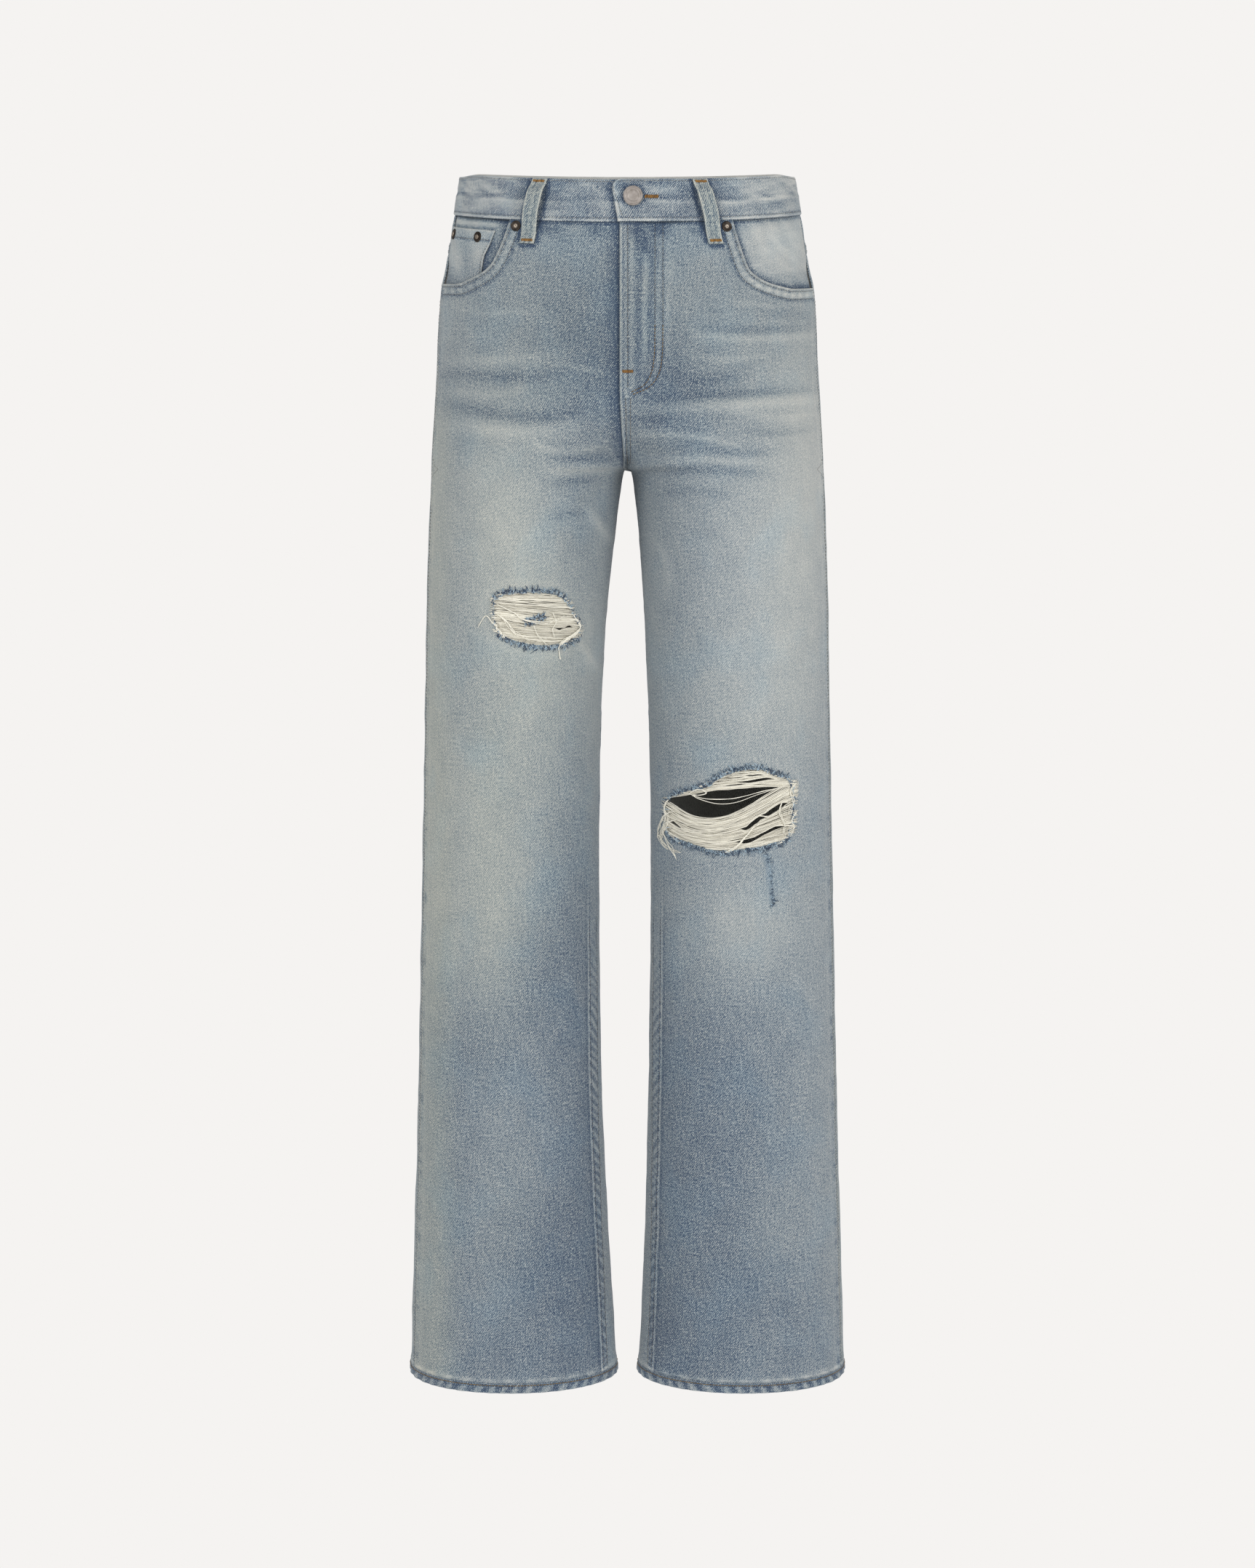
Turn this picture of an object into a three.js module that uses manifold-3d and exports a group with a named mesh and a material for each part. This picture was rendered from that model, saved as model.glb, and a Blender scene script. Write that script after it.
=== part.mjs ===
// Ripped straight-leg jeans, filled out as if worn, in millimetres. +Z is up and the front faces -Y.
// The origin is the middle of the waist opening, half way up the waistband, where a wearer holds them up.
// Left and right are the wearer's, so the left half lies at +X.
//
// Every cloth piece is a thin wall on one form. The form is a stack of level half-sections, each made of
// four quarter arcs: up from the inner end to the front, out to the side, back to the seat, and in again.
// Pieces are made on the level form, then fit() dips the waist in front and leans the legs a little.
import * as THREE from 'three';
import { mergeVertices } from 'three/addons/utils/BufferGeometryUtils.js';
import Module from 'manifold-3d';

// Driving dimensions
const BAND_TOP = 17.5;          // waistband, 35 mm tall
const BAND_LOW = -17.5;
const CROTCH_Z = -240;
const CROTCH_Y = 5;
const HEM_Z = -1066;
const HEM_HEIGHT = 9;
const FRONT_RISE_CURVE = 70;    // height over which the centre front turns under to the crotch
const BACK_RISE_CURVE = 100;
const DENIM = 1.5;              // wall of one layer
const SEAM = 0.3;               // gap between neighbouring pieces
const LAY = 0.5;                // gap under a piece that lies on another
const FULLNESS = 0.58;          // 0.552 is an ellipse, more is squarer
const ROUND = 0.5523;
const BAND_OUT = 0.8;           // waistband and hem are folded cloth, thicker than a panel
const BAND_IN = -2.0;

// Stations down the garment: height, then size
const HALF_WIDTH = [[17.5, 147], [-17.5, 152.3], [-60, 159.5], [-88, 165.3], [-148, 169], [-238, 174.2],
  [-342, 178.8], [-500, 182.6], [-658, 186.7], [-819, 190.9], [-982, 196.5], [HEM_Z, 199]];
const HALF_GAP = [[CROTCH_Z, 0], [-243, 2.8], [-264, 6.5], [-316, 12.3], [-394, 18.2], [-500, 22.2],
  [-605, 23.3], [-765, 21.9], [-873, 19], [-982, 14.3], [HEM_Z, 9.5]];
const FRONT_DEPTH = [[17.5, 96], [-17.5, 99], [-60, 104], [-110, 109], [-180, 112], [CROTCH_Z, 110],
  [-300, 106], [-380, 98], [-470, 90], [-560, 85], [-680, 79], [-820, 76], [HEM_Z, 75]];
const BACK_DEPTH = [[17.5, 95], [-17.5, 99], [-60, 110], [-120, 122], [-170, 127], [CROTCH_Z, 121],
  [-300, 111], [-380, 100], [-470, 91], [-560, 85], [-680, 80], [-820, 77], [HEM_Z, 76]];
const SIDE_SEAM = [[17.5, 0.93], [-90, 0.91], [-300, 0.82], [HEM_Z, 0.8]];   // share of the front-to-side arc
const INSEAM = [[-400, 0], [-760, 0.17], [HEM_Z, 0.27]];                     // share of the inner-to-front arc

const cloth = (color, roughness = 0.92) => new THREE.MeshStandardMaterial({ color, roughness });
const DENIM_BLUE = cloth(0x93a0a8);
const DENIM_PALE = cloth(0xb4b9b8);
const DENIM_EDGE = cloth(0x7f8b93);
const WEFT = cloth(0xd6d0bf);
const STEEL = new THREE.MeshStandardMaterial({ color: 0xb5afa9, roughness: 0.4, metalness: 0.85 });
const DARK_STEEL = new THREE.MeshStandardMaterial({ color: 0x4a4644, roughness: 0.4, metalness: 0.85 });

const wasm = await Module();
wasm.setup();

const jeans = new THREE.Group();
jeans.name = 'ripped_jeans';

// ---- numbers and curves ----

const mix = (a, b, t) => a + (b - a) * t;

function ease(low, high, value) {
  const t = Math.min(1, Math.max(0, (value - low) / (high - low)));
  return t * t * (3 - 2 * t);
}

// A smooth curve through stations [height, size], without overshoot between them
function through(stations, z) {
  const rising = stations[0][0] < stations[stations.length - 1][0] ? stations : [...stations].reverse();
  const last = rising.length - 1;
  const at = Math.min(rising[last][0], Math.max(rising[0][0], z));
  let i = 0;
  while (i < last - 1 && at > rising[i + 1][0]) i += 1;
  const slope = (k) => (rising[k + 1][1] - rising[k][1]) / (rising[k + 1][0] - rising[k][0]);
  const tangent = (k) => {
    if (k === 0) return slope(0);
    if (k === last) return slope(last - 1);
    const product = slope(k - 1) * slope(k);
    return product <= 0 ? 0 : (2 * product) / (slope(k - 1) + slope(k));
  };
  const span = rising[i + 1][0] - rising[i][0];
  const t = (at - rising[i][0]) / span;
  const t2 = t * t;
  const t3 = t2 * t;
  return (2 * t3 - 3 * t2 + 1) * rising[i][1] + (t3 - 2 * t2 + t) * span * tangent(i)
    + (3 * t2 - 2 * t3) * rising[i + 1][1] + (t3 - t2) * span * tangent(i + 1);
}

// A quarter arc from start to end that keeps inside their corner
function quarter(start, corner, end, pull) {
  const near = start.clone().lerp(corner, pull);
  const far = end.clone().lerp(corner, pull);
  return new THREE.CubicBezierCurve(start, near, far, end);
}

// ---- the form ----

// The corner that an arc in the crotch region turns round. It sharpens as the arc nears the crotch.
function riseCorner(end, peak, turned) {
  const depth = Math.abs(peak.y - end.y);
  const width = Math.max(peak.x - end.x, 1e-6);
  const open = Math.atan2(2 * depth, width);
  const sharp = ease(0.8, 1, turned);
  const angle = Math.max(mix(open, Math.PI / 2, sharp), 1e-6);
  return { corner: new THREE.Vector2(end.x + depth / Math.tan(angle), peak.y), pull: mix(2 / 3, ROUND, sharp) };
}

// The half-section at height z, as curves: inner front, front, back and inner back
function halfSection(z) {
  const width = through(HALF_WIDTH, z);
  const gap = z < CROTCH_Z ? through(HALF_GAP, z) : 0;
  const front = -through(FRONT_DEPTH, z);
  const back = through(BACK_DEPTH, z);
  const innerY = CROTCH_Y * (1 - ease(0, 200, CROTCH_Z - z));
  const turn = (rise) => Math.min(1, Math.max(0, (CROTCH_Z + rise - z) / rise));
  const frontTurn = turn(FRONT_RISE_CURVE);
  const backTurn = turn(BACK_RISE_CURVE);
  const endY = (peak, turned) => innerY + (peak - innerY) * Math.sqrt(1 - turned * turned);
  const peakX = (turned) => Math.max(gap, ((gap + width) / 2) * Math.sin((turned * Math.PI) / 2) ** 0.85);
  const frontEnd = new THREE.Vector2(gap, endY(front, frontTurn));
  const frontPeak = new THREE.Vector2(peakX(frontTurn), front);
  const side = new THREE.Vector2(width, CROTCH_Y / 2);
  const backPeak = new THREE.Vector2(peakX(backTurn), back);
  const backEnd = new THREE.Vector2(gap, endY(back, backTurn));
  const inFront = riseCorner(frontEnd, frontPeak, frontTurn);
  const inBack = riseCorner(backEnd, backPeak, backTurn);
  return [
    quarter(frontEnd, inFront.corner, frontPeak, inFront.pull),
    quarter(frontPeak, new THREE.Vector2(width, front), side, FULLNESS),
    quarter(side, new THREE.Vector2(width, back), backPeak, FULLNESS),
    quarter(backPeak, inBack.corner, backEnd, inBack.pull),
  ];
}

const ARC_STEPS = 24;

// Points along stretches of a half-section, each [arc, from, to], with their running length
function trace(z, stretches) {
  const section = halfSection(z);
  const points = [];
  for (const [arc, from, to] of stretches) {
    for (let i = 0; i <= ARC_STEPS; i += 1) {
      const point = section[arc].getPoint(mix(from, to, i / ARC_STEPS));
      const before = points[points.length - 1];
      if (!before || before.distanceTo(point) > 1e-4) points.push(point);
    }
  }
  const lengths = [0];
  for (let i = 1; i < points.length; i += 1) {
    lengths.push(lengths[i - 1] + points[i].distanceTo(points[i - 1]));
  }
  return { points, lengths, total: lengths[lengths.length - 1] };
}

// The point at a length along a trace, with its outward normal. A point on the form is { x, y, nx, ny }.
function alongTrace({ points, lengths, total }, length) {
  const at = Math.min(total, Math.max(0, length));
  let i = 0;
  while (i < points.length - 2 && at > lengths[i + 1]) i += 1;
  const t = (at - lengths[i]) / (lengths[i + 1] - lengths[i]);
  const point = points[i].clone().lerp(points[i + 1], t);
  const before = points[Math.max(0, i - 1)];
  const after = points[Math.min(points.length - 1, i + 2)];
  const run = after.clone().sub(before).normalize();
  return { x: point.x, y: point.y, nx: run.y, ny: -run.x };
}

const cached = (make) => {
  const kept = new Map();
  return (z) => {
    if (!kept.has(z)) kept.set(z, make(z));
    return kept.get(z);
  };
};
const frontTrace = cached((z) => trace(z, [[0, through(INSEAM, z), 1], [1, 0, through(SIDE_SEAM, z)]]));
const backTrace = cached((z) => {
  const torso = [[1, through(SIDE_SEAM, z), 1], [2, 0, 1], [3, 0, 1]];
  return trace(z, z < CROTCH_Z ? [...torso, [0, 0, through(INSEAM, z)]] : torso);
});
const legTrace = cached((z) => trace(z, [[0, 0, 1], [1, 0, 1], [2, 0, 1], [3, 0, 1]]));
const frontFace = cached((z) => trace(z, [[0, 0, 1], [1, 0, 1]]));
const backFace = cached((z) => trace(z, [[2, 0, 1], [3, 0, 1]]));

// The form's front or back at a distance x from the middle; x may be on either side
function faceAt(face, x, z) {
  const line = face(z);
  const want = Math.abs(x);
  const rises = line.points[0].x < line.points[line.points.length - 1].x;
  let low = 0;
  let high = line.total;
  for (let i = 0; i < 40; i += 1) {
    const middle = (low + high) / 2;
    const before = alongTrace(line, middle).x < want;
    if (before === rises) low = middle; else high = middle;
  }
  const found = alongTrace(line, (low + high) / 2);
  const sign = x < 0 ? -1 : 1;
  return { x, y: found.y, nx: found.nx * sign, ny: found.ny };
}

// Keeps a half just off the middle plane, then puts it on its side of the wearer
function onSide(point, side) {
  return { x: point.x * side, y: point.y, nx: point.nx * side, ny: point.ny };
}

const spot = (form, offset, z) => new THREE.Vector3(form.x + form.nx * offset, form.y + form.ny * offset, z);

// ---- from the level form to the worn one ----

const WAIST_DIP = 7.6;          // how much lower the waist is in front than at the side
const WAIST_BOW = 4;            // how much higher the sides are than front and back together
const LEG_LEAN = 2.6;           // the gap between the legs sits this far to the wearer's right

function fit(point) {
  const across = point.y / 98;
  const waist = ease(-160, -25, point.z);
  const lean = LEG_LEAN * (1 - ease(-420, -250, point.z)) * ease(-1040, -760, point.z);
  const inner = Math.min(1, Math.max(0, 1 - Math.abs(point.x) / 190));
  return new THREE.Vector3(point.x - lean * inner, point.y,
    point.z + waist * (WAIST_DIP * across - WAIST_BOW * across * across));
}

// ---- solids ----

function solidFrom(vertices, triangles) {
  let volume = 0;
  for (const [a, b, c] of triangles) {
    volume += vertices[a].dot(new THREE.Vector3().crossVectors(vertices[b], vertices[c]));
  }
  const ordered = volume < 0 ? triangles.map(([a, b, c]) => [a, c, b]) : triangles;
  const geometry = new THREE.BufferGeometry();
  geometry.setAttribute('position',
    new THREE.Float32BufferAttribute(vertices.flatMap((v) => [v.x, v.y, v.z]), 3));
  geometry.setIndex(ordered.flat());
  return geometry;
}

// A closed wall over columns x rows; outer(i, j) and inner(i, j) give its two faces
function wall(columns, rows, outer, inner, ring = false) {
  const vertices = [];
  for (const face of [outer, inner]) {
    for (let j = 0; j < rows; j += 1) {
      for (let i = 0; i < columns; i += 1) vertices.push(face(i, j));
    }
  }
  const id = (layer, i, j) => (layer * rows + j) * columns + (i % columns);
  const triangles = [];
  const quad = (a, b, c, d) => triangles.push([a, b, c], [a, c, d]);
  const spans = ring ? columns : columns - 1;
  for (let j = 0; j < rows - 1; j += 1) {
    for (let i = 0; i < spans; i += 1) {
      quad(id(0, i, j), id(0, i + 1, j), id(0, i + 1, j + 1), id(0, i, j + 1));
      quad(id(1, i, j), id(1, i, j + 1), id(1, i + 1, j + 1), id(1, i + 1, j));
    }
    if (!ring) {
      const end = columns - 1;
      quad(id(0, 0, j), id(0, 0, j + 1), id(1, 0, j + 1), id(1, 0, j));
      quad(id(0, end, j), id(1, end, j), id(1, end, j + 1), id(0, end, j + 1));
    }
  }
  for (let i = 0; i < spans; i += 1) {
    const low = rows - 1;
    quad(id(0, i, 0), id(1, i, 0), id(1, i + 1, 0), id(0, i + 1, 0));
    quad(id(0, i, low), id(0, i + 1, low), id(1, i + 1, low), id(1, i, low));
  }
  return solidFrom(vertices, triangles);
}

// A wall from a grid of { form, z, lift }, with its outer face at lift + out and its inner one at lift + inn
function cloths(columns, rows, at, out, inn, ring = false) {
  const face = (offset) => (i, j) => {
    const { form, z, lift = 0 } = at(i, j);
    return spot(form, lift + offset, z);
  };
  return wall(columns, rows, face(out), face(inn), ring);
}

function toManifold(geometry) {
  const plain = geometry.index && !geometry.attributes.normal ? geometry : geometry.clone();
  plain.deleteAttribute('normal');
  plain.deleteAttribute('uv');
  const merged = mergeVertices(plain, 1e-4);
  return new wasm.Manifold(new wasm.Mesh({
    numProp: 3,
    vertProperties: new Float32Array(merged.attributes.position.array),
    triVerts: new Uint32Array(merged.index.array),
  }));
}

function fromManifold(solid) {
  const mesh = solid.getMesh();
  const geometry = new THREE.BufferGeometry();
  geometry.setAttribute('position', new THREE.Float32BufferAttribute(mesh.vertProperties, 3));
  geometry.setIndex(Array.from(mesh.triVerts));
  return geometry;
}

// A block through the front with this outline in x and z, used to cut a hole or an edge
function cutter(outline, nearY, farY) {
  const shape = new THREE.Shape(outline.map(([x, z]) => new THREE.Vector2(x, z)));
  const block = new THREE.ExtrudeGeometry(shape, { depth: farY - nearY, bevelEnabled: false });
  block.rotateX(Math.PI / 2);
  block.translate(0, farY, 0);
  return toManifold(block);
}

function cut(geometry, ...blocks) {
  return fromManifold(blocks.reduce((solid, block) => solid.subtract(block), toManifold(geometry)));
}

function addPiece(name, geometry, material) {
  const position = geometry.attributes.position;
  for (let i = 0; i < position.count; i += 1) {
    const worn = fit(new THREE.Vector3().fromBufferAttribute(position, i));
    position.setXYZ(i, worn.x, worn.y, worn.z);
  }
  geometry.computeVertexNormals();
  const mesh = new THREE.Mesh(geometry, material);
  mesh.name = name;
  jeans.add(mesh);
}

const SIDES = [['left', 1], ['right', -1]];

// ---- fronts ----

const FRONT_COLUMNS = 14;
const PANEL_LOW = HEM_Z + HEM_HEIGHT + SEAM;
const RISE_STEPS = 6;
const frontLevels = [BAND_LOW - SEAM, -38, -60, -75, -90, -110, -140];
for (let i = 0; i <= RISE_STEPS; i += 1) {
  frontLevels.push(CROTCH_Z + FRONT_RISE_CURVE * (1 - Math.sin((i / RISE_STEPS) * (Math.PI / 2))));
}
frontLevels.push(-242, -249, -262, -300, -345, -400, -460, -520, -580, -650, -730, -820, -910, -990, PANEL_LOW);

// The left front laps over the right one at the centre, as far down as the fly's end
const LAP = 6.7;
const LAP_LIFT = DENIM + 1;
const lapWidth = (z) => LAP * ease(-188, -171, z);
const lapLift = (x, z) => LAP_LIFT * ease(-205, -188, z) * (1 - ease(4, 26, x));

function clearOfMiddle(form) {
  return form.x < SEAM / 2 ? { ...form, x: SEAM / 2 } : form;
}

function frontGrid(laps) {
  return (i, j) => {
    const z = frontLevels[j];
    const line = frontTrace(z);
    const lap = laps ? lapWidth(z) : 0;
    const length = mix(SEAM / 2 - lap, line.total - SEAM / 2, i / (FRONT_COLUMNS - 1));
    if (length < 0) {
      return { form: faceAt(frontFace, length, z), z, lift: lapLift(length, z) };
    }
    const form = clearOfMiddle(alongTrace(line, length));
    return { form, z, lift: laps ? lapLift(form.x, z) : 0 };
  };
}

// Scoop pocket edges, from the waist seam out to the side seam
const SCOOP_LEFT = [[89.7, -14], [90.6, -20], [97.2, -42], [104.1, -60.6], [111, -68.5], [121, -74.6],
  [137, -80.2], [150, -81.8], [200, -82]];
const SCOOP_RIGHT = [[-100.3, -14], [-101.5, -20], [-109, -41], [-115.5, -55], [-121, -62], [-128, -67.6],
  [-139.2, -74], [-152, -77.8], [-200, -79]];
const scoopBlock = (edge) => cutter([...edge, [edge[edge.length - 1][0], 20], [edge[0][0], 20]], -160, 20);

// The rips: a worn-through patch on the right thigh and an open one at the left knee
const THIGH_HOLE = [[-114, -350], [-110, -346.5], [-82, -345.8], [-55, -348], [-49, -358], [-44.5, -371],
  [-40, -378], [-41.5, -386.5], [-59, -392.6], [-85, -391.4], [-105, -384.6], [-112, -379], [-115, -361]];
const KNEE_HOLE = [[36, -532], [54, -522.5], [71, -518], [81, -508.8], [100, -500.8], [118, -500.8],
  [129, -506.8], [145.5, -512.3], [144.5, -560], [130, -567], [100, -572.5], [76, -573.8], [57, -568.4],
  [38, -563.5], [36.5, -547]];

addPiece('front_left',
  cut(cloths(FRONT_COLUMNS, frontLevels.length, frontGrid(true), 0, -DENIM), scoopBlock(SCOOP_LEFT),
    cutter(KNEE_HOLE, -160, -20)), DENIM_BLUE);
{
  const grid = frontGrid(false);
  const mirrored = (i, j) => {
    const { form, z } = grid(i, j);
    return { form: onSide(form, -1), z };
  };
  addPiece('front_right',
    cut(cloths(FRONT_COLUMNS, frontLevels.length, mirrored, 0, -DENIM), scoopBlock(SCOOP_RIGHT),
      cutter(THIGH_HOLE, -160, -20)), DENIM_BLUE);
}

// ---- backs and yokes ----

const BACK_COLUMNS = 14;
const YOKE_SIDE = -50;
const YOKE_CENTRE = -84;
// The first levels run from the yoke seam to the seat; the others are level
const SEAT_Z = -90;
const SEAT_ROWS = [0, 0.245, 0.622, 1];
const backLevels = [-105, -122];
for (let i = 0; i <= RISE_STEPS; i += 1) {
  backLevels.push(CROTCH_Z + BACK_RISE_CURVE * (1 - Math.sin((i / RISE_STEPS) * (Math.PI / 2))));
}
backLevels.push(-242, -249, -262, -300, -345, -400, -470, -540, -620, -720, -820, -910, -990, PANEL_LOW);
const yokeSeam = (share) => mix(YOKE_SIDE, YOKE_CENTRE, share);

function backForm(share, z, side) {
  const line = backTrace(z);
  const form = alongTrace(line, mix(SEAM / 2, line.total - SEAM / 2, share));
  return onSide(clearOfMiddle(form), side);
}

for (const [name, side] of SIDES) {
  const panel = (i, j) => {
    const share = i / (BACK_COLUMNS - 1);
    const z = j < SEAT_ROWS.length
      ? mix(yokeSeam(share) - SEAM, SEAT_Z, SEAT_ROWS[j]) : backLevels[j - SEAT_ROWS.length];
    return { form: backForm(share, z, side), z };
  };
  const rows = SEAT_ROWS.length + backLevels.length;
  addPiece(`back_${name}`, cloths(BACK_COLUMNS, rows, panel, 0, -DENIM), DENIM_BLUE);
  const yokeRows = 4;
  const yoke = (i, j) => {
    const share = i / (BACK_COLUMNS - 1);
    const z = mix(BAND_LOW - SEAM, yokeSeam(share), j / (yokeRows - 1));
    return { form: backForm(share, z, side), z };
  };
  addPiece(`yoke_${name}`, cloths(BACK_COLUMNS, yokeRows, yoke, 0, -DENIM), DENIM_BLUE);
}

// ---- pockets ----

const FACING_OUT = -(DENIM + 0.6);
const FACING_WALL = 1.2;
const COIN_WALL = 1.1;
const FACING_FIRST = 5;         // the front's column where the facing starts, well under the scoop
const FACING_ROWS = 6;          // its levels are the front's first ones

// Above the scoop the facing comes up level with the side seam, where it is sewn in
function facingRise(toSeam, z) {
  return (DENIM + 0.6) * (1 - ease(6, 34, toSeam)) * ease(-72, -52, z);
}

function facingForm(line, length, z, side) {
  return { form: onSide(alongTrace(line, length), side), z, lift: facingRise(line.total - length, z) };
}

for (const [name, side] of SIDES) {
  const deep = side < 0 ? COIN_WALL + LAY : 0;   // the coin pocket lies over the right facing
  const grid = (i, j) => {
    const z = frontLevels[j];
    const line = frontTrace(z);
    const share = (i + FACING_FIRST) / (FRONT_COLUMNS - 1);
    return facingForm(line, mix(SEAM / 2, line.total - SEAM / 2, share), z, side);
  };
  const out = FACING_OUT - deep;
  addPiece(`pocket_facing_${name}`,
    cloths(FRONT_COLUMNS - FACING_FIRST, FACING_ROWS, grid, out, out - FACING_WALL), DENIM_PALE);
}

// How far along the front from the middle the form reaches a distance x
function frontLength(x, z) {
  const line = frontTrace(z);
  let low = 0;
  let high = line.total;
  for (let i = 0; i < 40; i += 1) {
    const middle = (low + high) / 2;
    if (alongTrace(line, middle).x < x) low = middle; else high = middle;
  }
  return low;
}

const COIN_EDGE = [[-28, 115.5], [-38, 119.5], [-54.5, 126.5], [-66.6, 127.6], [-92, 128]];
const coinLevels = [-28.5, -38, -49, -60, -75, -89];
const COIN_COLUMNS = 6;
const coinPatch = (i, j) => {
  const z = coinLevels[j];
  const line = frontTrace(z);
  const start = frontLength(through(COIN_EDGE, z), z);
  return facingForm(line, mix(start, line.total - SEAM / 2, i / (COIN_COLUMNS - 1)), z, -1);
};
addPiece('coin_pocket', cloths(COIN_COLUMNS, coinLevels.length, coinPatch, FACING_OUT,
  FACING_OUT - COIN_WALL), DENIM_PALE);

// Back pockets: five-sided patches, placed by their distance from the side seam
const BACK_POCKET = { centre: 142, top: 76, low: 64, z: -98, straight: 122, point: 34 };
const POCKET_COLUMNS = 11;
const POCKET_ROWS = 7;
const POCKET_LAY = 1.2;
for (const [name, side] of SIDES) {
  const patch = (i, j) => {
    const across = (2 * i) / (POCKET_COLUMNS - 1) - 1;
    const down = j / (POCKET_ROWS - 1);
    const z = BACK_POCKET.z - down * (BACK_POCKET.straight + BACK_POCKET.point * (1 - Math.abs(across)));
    const half = mix(BACK_POCKET.top, BACK_POCKET.low, down);
    const form = alongTrace(backTrace(z), BACK_POCKET.centre + across * half);
    return { form: onSide(form, side), z };
  };
  addPiece(`back_pocket_${name}`, cloths(POCKET_COLUMNS, POCKET_ROWS, patch, POCKET_LAY + DENIM, POCKET_LAY),
    DENIM_BLUE);
}

// ---- waistband ----

const BAND_LAP_LIFT = BAND_OUT - BAND_IN + LAY;
const UNDERLAP_END = 28;
const TAB_END = -9.6;
const BAND_FRONT_STEPS = 8;
const BAND_BACK_STEPS = 7;

// Columns run from the underlap's end behind the button, right round the wearer, to the tab over it
const bandColumns = [];
for (const x of [UNDERLAP_END, 14]) bandColumns.push((z) => ({ form: faceAt(frontFace, x, z) }));
for (let i = 0; i <= BAND_FRONT_STEPS; i += 1) {
  bandColumns.push((z) => ({ form: onSide(alongFace(frontFace, i / BAND_FRONT_STEPS, z), -1) }));
}
for (let i = 1; i <= BAND_BACK_STEPS; i += 1) {
  bandColumns.push((z) => ({ form: onSide(alongFace(backFace, i / BAND_BACK_STEPS, z), -1) }));
}
for (let i = BAND_BACK_STEPS - 1; i >= 0; i -= 1) {
  bandColumns.push((z) => ({ form: alongFace(backFace, i / BAND_BACK_STEPS, z) }));
}
for (let i = BAND_FRONT_STEPS - 1; i >= 3; i -= 1) {
  bandColumns.push((z) => ({ form: alongFace(frontFace, i / BAND_FRONT_STEPS, z) }));
}
for (const x of [56, 44, 34, 24, 12, 0, TAB_END]) {
  bandColumns.push((z) => ({
    form: faceAt(frontFace, x, z),
    lift: BAND_LAP_LIFT * (1 - ease(32, 62, x)),
  }));
}

function alongFace(face, share, z) {
  const line = face(z);
  return alongTrace(line, line.total * share);
}

const bandLevels = [BAND_TOP, 0, BAND_LOW];
addPiece('waistband', cloths(bandColumns.length, bandLevels.length,
  (i, j) => ({ z: bandLevels[j], ...bandColumns[i](bandLevels[j]) }), BAND_OUT, BAND_IN), DENIM_BLUE);

// ---- belt loops ----

const LOOP_WIDTH = 13.5;
const LOOP_WALL = 1.6;
// Height, then how far the loop's inner face stands off the form
const LOOP_STANDOFF = [[16.8, 1.4], [12, 2.8], [6, 7.1], [0, 7.8], [-8, 7.8], [-16, 6.4], [-24, 3],
  [-31, 0.6], [-38, 0.6]];
const LOOPS = [
  { name: 'belt_loop_front_left', top: 61, low: 75.5, face: frontFace },
  { name: 'belt_loop_front_right', top: -74, low: -86, face: frontFace },
  { name: 'belt_loop_back_left', top: 86, low: 90, face: backFace },
  { name: 'belt_loop_back_right', top: -86, low: -90, face: backFace },
  { name: 'belt_loop_centre_back', top: 0, low: 0, face: backFace },
];
const loopTopZ = LOOP_STANDOFF[0][0];
const loopLowZ = LOOP_STANDOFF[LOOP_STANDOFF.length - 1][0];
for (const loop of LOOPS) {
  const columns = 3;
  const onTab = loop.face === frontFace && loop.top > 0;
  const bandLift = (x, z) => (onTab && z > BAND_LOW - 2 ? BAND_LAP_LIFT * (1 - ease(32, 62, x)) : 0);
  const strip = (i, j) => {
    const [z, lift] = LOOP_STANDOFF[j];
    const middle = mix(loop.top, loop.low, (loopTopZ - z) / (loopTopZ - loopLowZ));
    const level = faceAt(loop.face, middle, z);
    const across = LOOP_WIDTH * (i / (columns - 1) - 0.5) * Math.abs(level.ny);
    const form = faceAt(loop.face, middle + across, z);
    return { form, z, lift: lift + bandLift(form.x, z) };
  };
  addPiece(loop.name, cloths(columns, LOOP_STANDOFF.length, strip, LOOP_WALL, 0), DENIM_BLUE);
}

// ---- hems ----

const HEM_COLUMNS = 30;
for (const [name, side] of SIDES) {
  const ringForm = (i, j) => {
    const z = j === 0 ? HEM_Z + HEM_HEIGHT : HEM_Z;
    const line = legTrace(z);
    return { form: onSide(alongTrace(line, (line.total * i) / HEM_COLUMNS), side), z };
  };
  addPiece(`hem_${name}`, cloths(HEM_COLUMNS, 2, ringForm, BAND_OUT, BAND_IN, true), DENIM_EDGE);
}

// ---- bared weft threads in the rips ----

const THREAD_OUT = -(DENIM + 1.1);
const THREAD_WALL = 0.9;

function threadPatch(name, columns, rows, low, high) {
  const grid = (i, j) => {
    const x = columns[i];
    const z = mix(high(x), low(x), j / (rows - 1));
    return { form: faceAt(frontFace, x, z), z };
  };
  addPiece(name, cloths(columns.length, rows, grid, THREAD_OUT, THREAD_OUT - THREAD_WALL), WEFT);
}

threadPatch('thigh_rip_threads', [-121, -105, -89, -73, -57, -45, -35], 4, () => -398, () => -340);

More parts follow.
